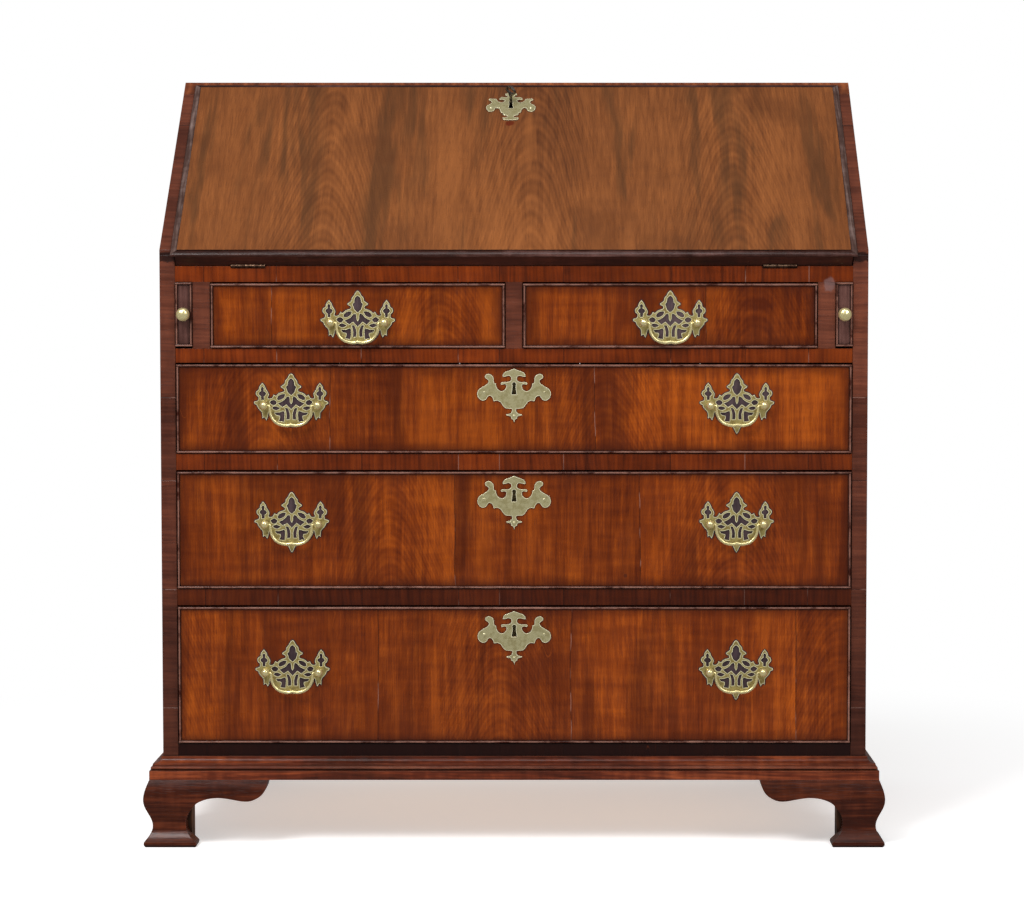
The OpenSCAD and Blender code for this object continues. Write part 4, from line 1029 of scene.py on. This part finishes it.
def round_profile(radius: float, middle: float, start: float, end: float,
                  steps: int = 12) -> list[tuple[float, float]]:
    """Points of a ball's outline about the axis, between two angles in degrees.

    Args:
        radius: The ball's radius.
        middle: Height of the ball's middle.
        start: First angle.
        end: Last angle.
        steps: How many stretches the outline has.

    Returns:
        The points as (radius, height).
    """
    return [(max(0.0, radius * math.cos(math.radians(start + (end - start) * i / steps))),
             middle + radius * math.sin(math.radians(start + (end - start) * i / steps)))
            for i in range(steps + 1)]


def wax_and_shadow_film(plate: bmesh.types.BMesh, reach: float = 1.3 * MM, lift: float = 0.06 * MM
          ) -> bmesh.types.BMesh:
    """Makes the dark film under and round a plate that lies on a drawer's face: old wax, and
    painted shadow round the plate and in its openings.

    Args:
        plate: The plate's mesh, which is used up.
        reach: How far the film shows beyond the plate.
        lift: Its thickness.

    Returns:
        The film, with the plate's openings filled.
    """
    back = max(v.co.y for v in plate.verts)
    rim = [e for e in plate.edges if all(abs(v.co.y - back) < JOIN_WITHIN for v in e.verts)
           and e.calc_face_angle(0.0) > 1.0]
    loops = edge_loops(rim)
    plate_outline = max(loops, key=lambda loop: max(p.x for p in loop) - min(p.x for p in loop))
    plate.free()
    count = len(plate_outline)
    area = sum(p.x * q.z - q.x * p.z for p, q in
               zip(plate_outline, plate_outline[1:] + plate_outline[:1]))
    sign = 1.0 if area > 0 else -1.0
    bm = bmesh.new()
    ring = []
    for i, point in enumerate(plate_outline):
        before, after = plate_outline[i - 1], plate_outline[(i + 1) % count]
        along = (after - before).normalized()
        out = Vector((along.z, 0, -along.x)) * sign
        ring.append(bm.verts.new(Vector((point.x, back - lift, point.z)) + out * reach))
    bm.faces.new(ring if sign < 0 else ring[::-1])
    skirt = bmesh.ops.extrude_face_region(bm, geom=list(bm.faces))
    for v in skirt["geom"]:
        if isinstance(v, bmesh.types.BMVert):
            v.co.y = back + 0.02 * MM
    bmesh.ops.triangulate(bm, faces=[f for f in bm.faces if len(f.verts) > 4])
    return bm


def edge_loops(edges: Sequence[bmesh.types.BMEdge]) -> list[list[Vector]]:
    """Follows edges into closed lines.

    Args:
        edges: The edges, each in one line.

    Returns:
        The corners of each line in order.
    """
    ways: dict[bmesh.types.BMVert, list[bmesh.types.BMVert]] = {}
    for e in edges:
        ways.setdefault(e.verts[0], []).append(e.verts[1])
        ways.setdefault(e.verts[1], []).append(e.verts[0])
    found = []
    while ways:
        start = min(ways, key=lambda v: v.index)
        line, here = [], start
        while here in ways:
            line.append(here.co.copy())
            turns = ways.pop(here)
            here = next((v for v in turns if v in ways), start)
        found.append(line)
    return found


def merged(parts: Sequence[bmesh.types.BMesh]) -> bmesh.types.BMesh:
    """Puts several meshes into the first and frees the rest.

    Args:
        parts: The meshes.

    Returns:
        The first mesh.
    """
    whole = parts[0]
    for part in parts[1:]:
        spare = bpy.data.meshes.new("spare")
        part.to_mesh(spare)
        part.free()
        whole.from_mesh(spare)
        bpy.data.meshes.remove(spare)
    return whole


def facing_front(x: float, y: float, z: float) -> Matrix:
    """Where a turned piece goes whose axis points out of the desk's front."""
    return Matrix.Translation((x, y, z)) @ Matrix.Rotation(math.radians(90), 4, "X")


def on_slope(x: float, s: float, d: float) -> Matrix:
    """Where a piece goes that stands on the closed fall, its axis pointing outward."""
    return (Matrix.Translation((0, FRONT_Y, WRITING_Z)) @ Matrix.Rotation(SLOPE, 4, "X")
            @ Matrix.Translation((x, s, d)))


# ------------------------------------------------------------------ the desk


@dataclass
class Case:
    """The fixed boards of the case.

    Attributes:
        arris: Width of the worn arrises, in metres.
    """

    arris: float = 0.7 * MM

    def build(self) -> None:
        """Shapes and finishes every board."""
        self._sides()
        self._top()
        self._front_rails()
        self._inside()

    def _board(self, node: str, slot: str, *finishes: Finish, pick: Rule | None = None) -> None:
        """Softens one node's boards and seats them on the case."""
        dress(node, node + "_board", "case", finishes, self.arris, pick=pick)

    def _sides(self) -> None:
        """The two sides: long grain outside, crossbanding on their front edges."""
        def pick(low: Vector, high: Vector, face: bmesh.types.BMFace) -> int:
            """The edges that look forward or up the slope are banded."""
            return 1 if face.normal.y < -0.5 else 0
        for node in ("side_left", "side_right"):
            self._board(node, "case_mahogany", Finishes.SIDE, Finishes.STILE, pick=pick)

    def _top(self) -> None:
        """The top board and its strike fillet."""
        self._board("top_board", "case_mahogany", Finishes.TOP)

    def _front_rails(self) -> None:
        """Rails and uprights with crossbanded fronts; the top rail meets the open fall."""
        banded = (Finishes.PINE, Finishes.BAND)

        def pick(low: Vector, high: Vector, face: bmesh.types.BMFace) -> int:
            """Only the front face is banded."""
            return 1 if in_front(face) else 0

        def pick_top(low: Vector, high: Vector, face: bmesh.types.BMFace) -> int:
            """The top rail's upper face carries the writing surface on to the hinges."""
            return 2 if face.normal.z > 0.7 else pick(low, high, face)
        self._board("top_rail", "case_mahogany", *banded, Finishes.WRITING, pick=pick_top)
        for node in ("drawer_rails", "bottom_board"):
            self._board(node, "case_mahogany", *banded, pick=pick)
        self._board("uprights", "case_mahogany", Finishes.PINE_DEEP, Finishes.STILE, pick=pick)

    def _inside(self) -> None:
        """Boards that show only when the desk is open or from behind."""
        self._board("writing_board", "case_mahogany", Finishes.WRITING)
        self._board("back_boards", "pine", Finishes.PINE_UP)
        self._board("dust_boards", "pine", Finishes.PINE)
        self._board("drawer_runners", "pine", Finishes.PINE_DEEP)


@dataclass
class Base:
    """The moulded base and its bracket feet.

    Attributes:
        arris: Width of the worn arrises, in metres.
    """

    arris: float = 0.8 * MM

    def build(self) -> None:
        """Shapes and finishes the moulding and the four feet."""
        low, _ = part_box("base_moulding")

        def pick(a: Vector, b: Vector, face: bmesh.types.BMFace) -> int:
            """The front strip, the side strips and the pine at the back."""
            if b.x - a.x < 0.2:
                return 1
            return 0 if a.y < low.y + 0.05 else 2
        # The rounded arrises take the pale finish of wear and painted highlight.
        dress("base_moulding", "base_moulding_run", "case",
              (Finishes.MOULDING, Finishes.RETURN, Finishes.PINE, Finishes.ARRIS_WEAR_AND_HIGHLIGHT), self.arris,
              edge=3, pick=pick)
        for end in ("front_left", "front_right", "back_left", "back_right"):
            self._foot("foot_" + end)

    def _foot(self, node: str) -> None:
        """Shapes one foot: front bracket, side bracket and its pine block.

        Args:
            node: The foot's CAD node.
        """
        def pick(a: Vector, b: Vector, face: bmesh.types.BMFace) -> int:
            """Brackets by the way they run; the block is nearly square."""
            wide, deep = b.x - a.x, b.y - a.y
            if max(wide, deep) < 0.06 or ("back" in node and wide > deep):
                return 2
            return 0 if wide > deep else 1
        # The rounded arrises take the pale finish of wear and painted highlight.
        dress(node, node + "_bracket", "case",
              (Finishes.FOOT, Finishes.FOOT_SIDE, Finishes.BLOCK, Finishes.ARRIS_WEAR_AND_HIGHLIGHT), self.arris,
              edge=3, pick=pick)


@dataclass
class Hinges:
    """The two brass hinges of the fall, with their screws.

    Attributes:
        screw_r: Radius of a screw's head, in metres.
        rows: Places of a leaf's screws along the hinge, as shares of its length.
    """

    screw_r: float = 2.6 * MM
    rows: tuple[float, ...] = (-0.36, 0.0, 0.36)

    def build(self) -> None:
        """Shapes the leaves and drives the screws."""
        for node, body in (("case_hinge_leaves", "case"), ("fall_hinge_leaves", "fall")):
            dress(node, node + "_brass", body, (Finishes.HINGE,), 0.25 * MM, 1)
            self._screws(node, body)

    def _screws(self, node: str, body: str) -> None:
        """Slotted heads in two staggered rows on each leaf.

        Args:
            node: The leaves' CAD node.
            body: Their body.
        """
        low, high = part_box(node)
        length = 46 * MM
        parts = []
        for side, edge in ((-1, low.x), (1, high.x)):
            middle = edge - side * length / 2
            for i, share in enumerate(self.rows):
                x = middle + share * length
                s = (24 if i % 2 else 14) * MM
                if body == "case":
                    where = Matrix.Translation((x, FRONT_Y + s, WRITING_Z))
                else:
                    where = on_slope(x, s, 0.3 * MM) @ Matrix.Rotation(math.pi, 4, "X")
                parts.append(self._head(where))
        seat(to_object(node + "_screws", merged(parts), FINISH.all(Finishes.LOCK)), body)

    def _head(self, where: Matrix) -> bmesh.types.BMesh:
        """One slightly domed head, cut across by its slot.

        Args:
            where: Turns and moves the head from the origin, where it faces up.

        Returns:
            The mesh.
        """
        r, half, floor, top = self.screw_r, 0.35 * MM, -0.25 * MM, 0.14 * MM
        bm = lathe([(0.0, -0.8 * MM), (r, -0.8 * MM), (r, floor), (0.0, floor)], 24,
                   Matrix.Identity(4))
        start = math.asin(half / r)
        turns = [start + (math.pi - 2 * start) * i / 12 for i in range(13)]
        for side in (-1, 1):
            low = [bm.verts.new((r * math.cos(t), side * r * math.sin(t), floor))
                   for t in turns]
            high = [bm.verts.new((0.9 * v.co.x, side * half + 0.9 * (v.co.y - side * half), top))
                    for v in low]
            bm.faces.new(low)
            bm.faces.new(high)
            for i in range(len(low)):
                j = (i + 1) % len(low)
                bm.faces.new((low[i], low[j], high[j], high[i]))
        bmesh.ops.recalc_face_normals(bm, faces=bm.faces)
        bm.transform(where)
        return bm


@dataclass
class Fall:
    """The hinged fall with its lip, lock, escutcheon and key.

    Attributes:
        arris: Width of the worn arrises, in metres.
    """

    arris: float = 0.6 * MM

    def build(self) -> None:
        """Shapes and finishes everything that swings with the fall."""
        self._board()
        self._lip()
        self._brass()
        self._key()

    def _board(self) -> None:
        """The board: veneered field outside, plain writing surface inside."""
        outward = Vector((0, -math.sin(SLOPE), math.cos(SLOPE)))
        up = Vector((0, math.cos(SLOPE), math.sin(SLOPE)))

        def pick(a: Vector, b: Vector, face: bmesh.types.BMFace) -> int:
            """Slot 1 for the inner face, and 2 for the board's edges, painted dark as shade."""
            if face.normal.dot(outward) < -0.5:
                return 1
            return 2 if abs(face.normal.dot(outward)) < 0.5 or face.normal.dot(up) < -0.3 else 0
        dress("fall_board", "fall_field", "fall",
              (Finishes.FALL, Finishes.WRITING, Finishes.EDGE), self.arris, pick=pick)

    def _lip(self) -> None:
        """The moulded edge round the field."""
        def pick(a: Vector, b: Vector, face: bmesh.types.BMFace) -> int:
            """The side strips run up the slope."""
            return 1 if b.x - a.x < 0.1 else 0
        # The level strips take the shaded copy of the lip's timber and the side strips the highlit
        # one.
        dress("fall_moulding", "fall_lip_moulding", "fall",
              (Finishes.LIP, Finishes.LIP_UP), 0.4 * MM, pick=pick)

    def _brass(self) -> None:
        """The escutcheon, the lock's case and its bolt."""
        # Its rounded arrises take the pale brass of wear and painted highlight.
        dress("fall_escutcheon", "fall_escutcheon_plate", "fall",
              (Finishes.KEY_PLATE, Finishes.BRASS_EDGE), 0.35 * MM, edge=1)
        for node, body in (("fall_lock", "fall"), ("fall_lock_bolt", "fall_lock_bolt")):
            dress(node, node + "_case", body, (Finishes.LOCK,), 0.25 * MM)

    def _key(self) -> None:
        """The iron key."""
        dress("key", "key_forged", "key", (Finishes.IRON,), 0.45 * MM, 3)


@dataclass
class Loper:
    """A pull-out support for the open fall.

    Attributes:
        side: left or right.
    """

    side: str

    def build(self) -> None:
        """Shapes and finishes the bar, its beads and its knob."""
        node = "loper_" + self.side
        low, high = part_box(node)
        dress(node, node + "_bar", node,
              (Finishes.OAK, Finishes.LOPER, Finishes.BEAD, Finishes.BEAD_UP), 0.3 * MM,
              pick=bead_or_front(low.x, high.x))
        self._knob()

    def _knob(self) -> None:
        """The small turned brass knob."""
        node = "loper_knob_" + self.side
        low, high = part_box(node)
        r = (high.x - low.x) / 2
        profile = [(0.0, -18 * MM), (2 * MM, -18 * MM), (2 * MM, 0.0), (0.62 * r, 0.0),
                   (0.66 * r, 0.7 * MM), (0.6 * r, 1.3 * MM), (0.42 * r, 2.4 * MM),
                   (0.36 * r, 4.2 * MM)]
        profile += [(0.25 * r + x, z) for x, z in round_profile(0.75 * r, 10 * MM, -58, 62, 18)]
        profile += [(0.42 * r, 10 * MM + 0.73 * r), (0.2 * r, 10 * MM + 0.79 * r),
                    (0.0, 10 * MM + 0.81 * r)]
        bm = lathe(profile, 40, facing_front((low.x + high.x) / 2, FRONT_Y,
                                             (low.z + high.z) / 2))
        seat(to_object(node + "_turned", bm, FINISH.all(Finishes.BRASS_BALL)),
             "loper_" + self.side, node)


def in_front(face: bmesh.types.BMFace) -> bool:
    """Whether a face looks forward from the plane of the rails."""
    return face.normal.y < -0.3 and face.calc_center_median().y < FACING_FRONT


def bead_or_front(x0: float, x1: float) -> Rule:
    """Makes the rule that dresses a beaded front.

    Args:
        x0: Low side of the front.
        x1: High side of the front.

    Returns:
        The rule: 0 for plain wood, 1 for veneer, 2 and 3 for level and upright beads.
    """
    def pick(low: Vector, high: Vector, face: bmesh.types.BMFace) -> int:
        """Chooses by the solid's size, then by the face's direction."""
        if high.y - low.y < BEAD_DEEP:
            return 2 if high.x - low.x > 0.9 * (x1 - x0) else 3
        return 1 if in_front(face) else 0
    return pick


@dataclass
class Bail:
    """A swelled brass bail.

    Attributes:
        node: Its CAD node, which is also its body.
    """

    node: str

    def build(self) -> None:
        """Smooths the cast rod."""
        bm = cad_mesh(self.node)
        piece = to_object(self.node + "_cast", bm, FINISH.all(Finishes.BRASS_BALL), 60.0)
        seat(piece, self.node, self.node)


@dataclass
class Drawer:
    """A drawer with its front, linings and brass.

    Attributes:
        name: Its name, as the CAD nodes have it.
        joints: Where its veneer is joined, across x, in metres.
        flame_at: Where its figure is centred, across x.
        seed: Shifts its figure.
        bails: Names of its bails' nodes.
        marks: Its stains and plugs.
    """

    name: str
    joints: tuple[float, ...]
    flame_at: float
    seed: float
    bails: tuple[str, ...]
    marks: tuple[Mark, ...] = ()

    @property
    def body(self) -> str:
        """The CAD body that the drawer rides on."""
        return "drawer_" + self.name

    def build(self) -> None:
        """Shapes and finishes the whole drawer."""
        self._front()
        dress(self.name + "_box", self.name + "_linings", self.body, (Finishes.OAK,),
              0.6 * MM)
        self._handles()
        if self.name.startswith("long"):
            self._escutcheon()
        for bail in self.bails:
            Bail(bail).build()

    def _front(self) -> None:
        """The veneered front and its four beads."""
        node = self.name + "_front"
        low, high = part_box(node)
        rim = 3.2 * MM
        veneer = FINISH.drawer(node, (low.x + rim, low.z + rim, high.x - rim, high.z - rim),
                               self.joints, self.seed, self.flame_at, self.marks)
        dress(node, node + "_beaded", self.body,
              (Finishes.PINE, veneer, Finishes.BEAD, Finishes.BEAD_UP), 0.3 * MM,
              pick=bead_or_front(low.x, high.x))

    def _handles(self) -> None:
        """Pierced plates from the CAD outline, with finer posts, heads and nuts."""
        node = self.name + ("_mounts" if self.name.startswith("long") else "_mount")
        brass = FINISH.all(Finishes.BRASS, Finishes.BRASS_EDGE, Finishes.BRASS_BALL,
                           Finishes.LOCK)

        def is_plate(low: Vector, high: Vector) -> bool:
            """Plates are thin and wide."""
            return high.y - low.y < 2.2 * MM and high.x - low.x > 0.08
        bm = cad_mesh(node, is_plate)
        # The plates' rounded arrises take the pale brass of wear and painted highlight.
        soften(bm, 0.4 * MM, 1, 1)
        posts = bmesh.new()
        posts.from_mesh(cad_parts[node].data)
        bmesh.ops.remove_doubles(posts, verts=posts.verts, dist=JOIN_WITHIN)
        posts.faces.index_update()
        parts = [bm]
        for faces in island_faces(posts):
            low, high = face_box(faces)
            if high.y - low.y > 0.03:
                parts.append(self._post((low.x + high.x) / 2, (low.z + high.z) / 2))
            elif not is_plate(low, high):
                parts.append(self._plain(node, low, high))
        posts.free()
        seat(to_object(node + "_brass", merged(parts), brass, 40.0), self.body, node)
        # Old wax and painted shadow: a dark film under each plate, showing round it and through
        # its openings.
        dirt_and_shade = merged([wax_and_shadow_film(cad_mesh(node, one)) for one in self._plate_rules(node, is_plate)])
        seat(to_object(node + "_wax", dirt_and_shade, FINISH.all(Finishes.WAX_AND_SHADOW)), self.body)

    def _plate_rules(self, node: str, is_plate: Keep) -> list[Keep]:
        """Makes one rule for each plate of a node, which keeps that plate alone.

        Args:
            node: The handles' CAD node.
            is_plate: Tells plates from other solids.

        Returns:
            The rules.
        """
        bm = cad_mesh(node, is_plate)
        bm.faces.index_update()
        lows = [face_box(faces)[0].copy() for faces in island_faces(bm)]
        bm.free()
        return [lambda low, high, at=at: is_plate(low, high) and (low - at).length < SAME_PLACE
                for at in lows]

    def _plain(self, node: str, low: Vector, high: Vector) -> bmesh.types.BMesh:
        """A lock case or a nut, softened from the CAD.

        Args:
            node: The handles' CAD node.
            low: Low corner of the solid's box.
            high: High corner.

        Returns:
            The mesh, in the lock brass slot.
        """
        def same(a: Vector, b: Vector) -> bool:
            """Whether a solid is the one asked for."""
            return (a - low).length < SAME_PLACE and (b - high).length < SAME_PLACE
        bm = cad_mesh(node, same)
        soften(bm, 0.2 * MM, 1)
        for face in bm.faces:
            face.material_index = 3
        return bm

    def _post(self, x: float, z: float) -> bmesh.types.BMesh:
        """One turned post with its ball head.

        Args:
            x: Its place across the desk.
            z: Its height.

        Returns:
            The mesh, in the bright brass slot.
        """
        t, r, ball_out = 1.4 * MM, 5.6 * MM, 11.0 * MM
        profile = [(0.0, -25.5 * MM), (2 * MM, -25.5 * MM), (2 * MM, t + 0.15 * MM),
                   (4.2 * MM, t + 0.15 * MM), (4.5 * MM, t + 0.6 * MM),
                   (4.2 * MM, t + 1.1 * MM), (3.2 * MM, t + 1.7 * MM), (2.8 * MM, t + 2.6 * MM)]
        profile += round_profile(r, ball_out, -57, 90, 22)
        bm = lathe(profile, 40, facing_front(x, FRONT_Y, z))
        for face in bm.faces:
            face.material_index = 2
        return bm

    def _escutcheon(self) -> None:
        """The solid key plate, its pins and the lock behind it."""
        node = self.name + "_lock"
        # Its rounded arrises take the pale brass of wear and painted highlight.
        dress(node, node + "_plate", self.body,
              (Finishes.KEY_PLATE, Finishes.BRASS_EDGE), 0.4 * MM, edge=1)


@dataclass
class Nest:
    """The pigeonholes and small drawers behind the fall.

    Attributes:
        drawers: How many small drawers there are.
    """

    drawers: int = 4

    def build(self) -> None:
        """Shapes and finishes the partitions, valances and small drawers."""
        def pick(low: Vector, high: Vector, face: bmesh.types.BMFace) -> int:
            """Level boards are slot 0 and upright ones slot 1."""
            return 1 if high.x - low.x < 0.01 else 0
        for node in ("interior_case", "interior_valances"):
            dress(node, node + "_joinery", "case",
                  (Finishes.INNER, Finishes.INNER_UP), 0.5 * MM, pick=pick)
        for i in range(1, self.drawers + 1):
            self._drawer(f"inner_drawer_{i}", 100.0 + 7.0 * i)

    def _drawer(self, node: str, seed: float) -> None:
        """One small drawer with its turned knob.

        Args:
            node: The drawer's CAD node.
            seed: Shifts its figure.
        """
        low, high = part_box(node)
        face = (low.x, low.z, high.x, high.z)
        veneer = FINISH.drawer(node, face, (), seed, (low.x + high.x) / 2)

        def pick(a: Vector, b: Vector, side: bmesh.types.BMFace) -> int:
            """The front, the linings, or the knob."""
            if b.x - a.x < 0.02 and b.z - a.z < 0.02:
                return 2
            return 1 if b.y - a.y < 0.01 and a.y < low.y + 0.03 else 0
        dress(node, node + "_made", node,
              (Finishes.OAK, veneer, Finishes.BEAD), 0.5 * MM, pick=pick)


@dataclass
class Studio:
    """The floor, the lights and the camera.

    Attributes:
        lens: Focal length on a 36 mm wide sensor.
        distance: From the lens to the plane of the case's front, in metres.
        height: Height of the lens.
        right: How far the lens stands right of the desk's middle.
        down: How far the view tilts down, in degrees.
        shift: Sideways shift of the frame.
    """

    lens: float = 93.0
    distance: float = 3.6076
    height: float = 0.731
    right: float = 0.062
    down: float = 2.99
    shift: float = -0.0464

    def build(self) -> None:
        """Sets up the whole studio."""
        self._camera()
        self._floor()
        self._sky()
        self._lamp("key_light", (-1.7, -3.0, 3.4), (0.0, 0.0, 0.55), 1.5, 120.0)
        self._lamp("fill_light", (2.3, -3.2, 2.9), (0.0, 0.0, 0.5), 1.8, 62.0)
        self._lamp("top_light", (0.0, -1.9, 3.7), (0.0, 0.0, 0.7), 1.6, 30.0)
        bpy.context.scene.view_settings.view_transform = "Standard"

    def _camera(self) -> None:
        """A long lens looking slightly down at the front."""
        data = bpy.data.cameras.new("camera")
        data.sensor_width = 36.0
        data.lens = self.lens
        data.shift_x = self.shift
        camera = bpy.data.objects.new("camera", data)
        camera.location = (self.right, FRONT_Y - self.distance, self.height)
        camera.rotation_euler = (math.radians(90.0 - self.down), 0.0, 0.0)
        bpy.context.scene.collection.objects.link(camera)
        bpy.context.scene.camera = camera

    def _floor(self) -> None:
        """A wide pale floor."""
        bm = bmesh.new()
        bmesh.ops.create_grid(bm, x_segments=1, y_segments=1, size=14.0)
        mesh = bpy.data.meshes.new("floor")
        bm.to_mesh(mesh)
        bm.free()
        g = Graph("pale_floor")
        here = g.node("ShaderNodeTexCoord").outputs["Object"]
        x, y, _ = g.split(here)
        far = g.length(x, y)
        near = g.span(far, 0.7, 1.5, 1.0, 0.0)
        tone = g.mix(g.noise(here, 1.5, 2.0), rgb(242, 242, 242), rgb(248, 248, 248))
        tone = g.mix(near, rgb(0, 0, 0), tone)
        glow = g.mix(near, rgb(255, 255, 255), rgb(176, 176, 176))
        mesh.materials.append(g.shade(tone, 0.9, None, 0.0, glow, Emission_Strength=1.0,
                                      Specular_IOR_Level=0.0))
        floor = bpy.data.objects.new("floor", mesh)
        floor.visible_glossy = False
        bpy.context.scene.collection.objects.link(floor)

    def _sky(self) -> None:
        """White behind the desk, soft grey as a light and dim in what shines."""
        world = bpy.data.worlds.new("studio")
        bpy.context.scene.world = world
        world.use_nodes = True
        tree = world.node_tree
        tree.nodes.clear()
        path = tree.nodes.new("ShaderNodeLightPath")
        out = tree.nodes.new("ShaderNodeOutputWorld")
        last = self._glow(tree, 0.34)
        for ray, strength in (("Is Glossy Ray", 0.16), ("Is Camera Ray", 1.0)):
            choice = tree.nodes.new("ShaderNodeMixShader")
            tree.links.new(path.outputs[ray], choice.inputs[0])
            tree.links.new(last, choice.inputs[1])
            tree.links.new(self._glow(tree, strength), choice.inputs[2])
            last = choice.outputs[0]
        tree.links.new(last, out.inputs[0])

    def _glow(self, tree: bpy.types.NodeTree, strength: float) -> NodeSocket:
        """Adds a white background of a strength.

        Args:
            tree: The world's node tree.
            strength: How bright it is.

        Returns:
            The background's socket.
        """
        glow = tree.nodes.new("ShaderNodeBackground")
        glow.inputs[0].default_value = (1.0, 1.0, 1.0, 1.0)
        glow.inputs[1].default_value = strength
        return glow.outputs[0]

    def _lamp(self, name: str, place: Sequence[float], target: Sequence[float], size: float,
              power: float) -> None:
        """One square soft light.

        Args:
            name: Its name.
            place: Where it stands.
            target: What it points at.
            size: Its side in metres.
            power: Its power in watts.
        """
        data = bpy.data.lights.new(name, "AREA")
        data.size = size
        data.energy = power
        lamp = bpy.data.objects.new(name, data)
        lamp.location = place
        aim = Vector(target) - Vector(place)
        lamp.rotation_euler = aim.to_track_quat("-Z", "Y").to_euler()
        bpy.context.scene.collection.objects.link(lamp)


def main() -> None:
    """Builds the studio and the desk, piece by piece."""
    Studio().build()
    Case().build()
    Base().build()
    Hinges().build()
    Fall().build()
    for side in ("left", "right"):
        Loper(side).build()
    for drawer in (
        Drawer("short_left", (-0.330,), -0.10, 1.7, ("short_left_bail",)),
        Drawer("short_right", (0.262,), 0.33, 3.1, ("short_right_bail",)),
        Drawer("long_upper", (-0.252, 0.11), -0.34, 4.6,
               ("long_upper_bail_left", "long_upper_bail_right")),
        Drawer("long_middle", (-0.081, 0.172), 0.30, 6.2,
               ("long_middle_bail_left", "long_middle_bail_right"),
               (Mark(0.152, 0.371, 0.003, 0.003, rgb(60, 26, 16)),
                Mark(0.275, 0.357, 0.003, 0.003, rgb(60, 26, 16)))),
        Drawer("long_lower", (-0.186, 0.078, 0.386), -0.02, 8.3,
               ("long_lower_bail_left", "long_lower_bail_right")),
    ):
        drawer.build()
    Nest().build()


if __name__ == "__main__":
    main()
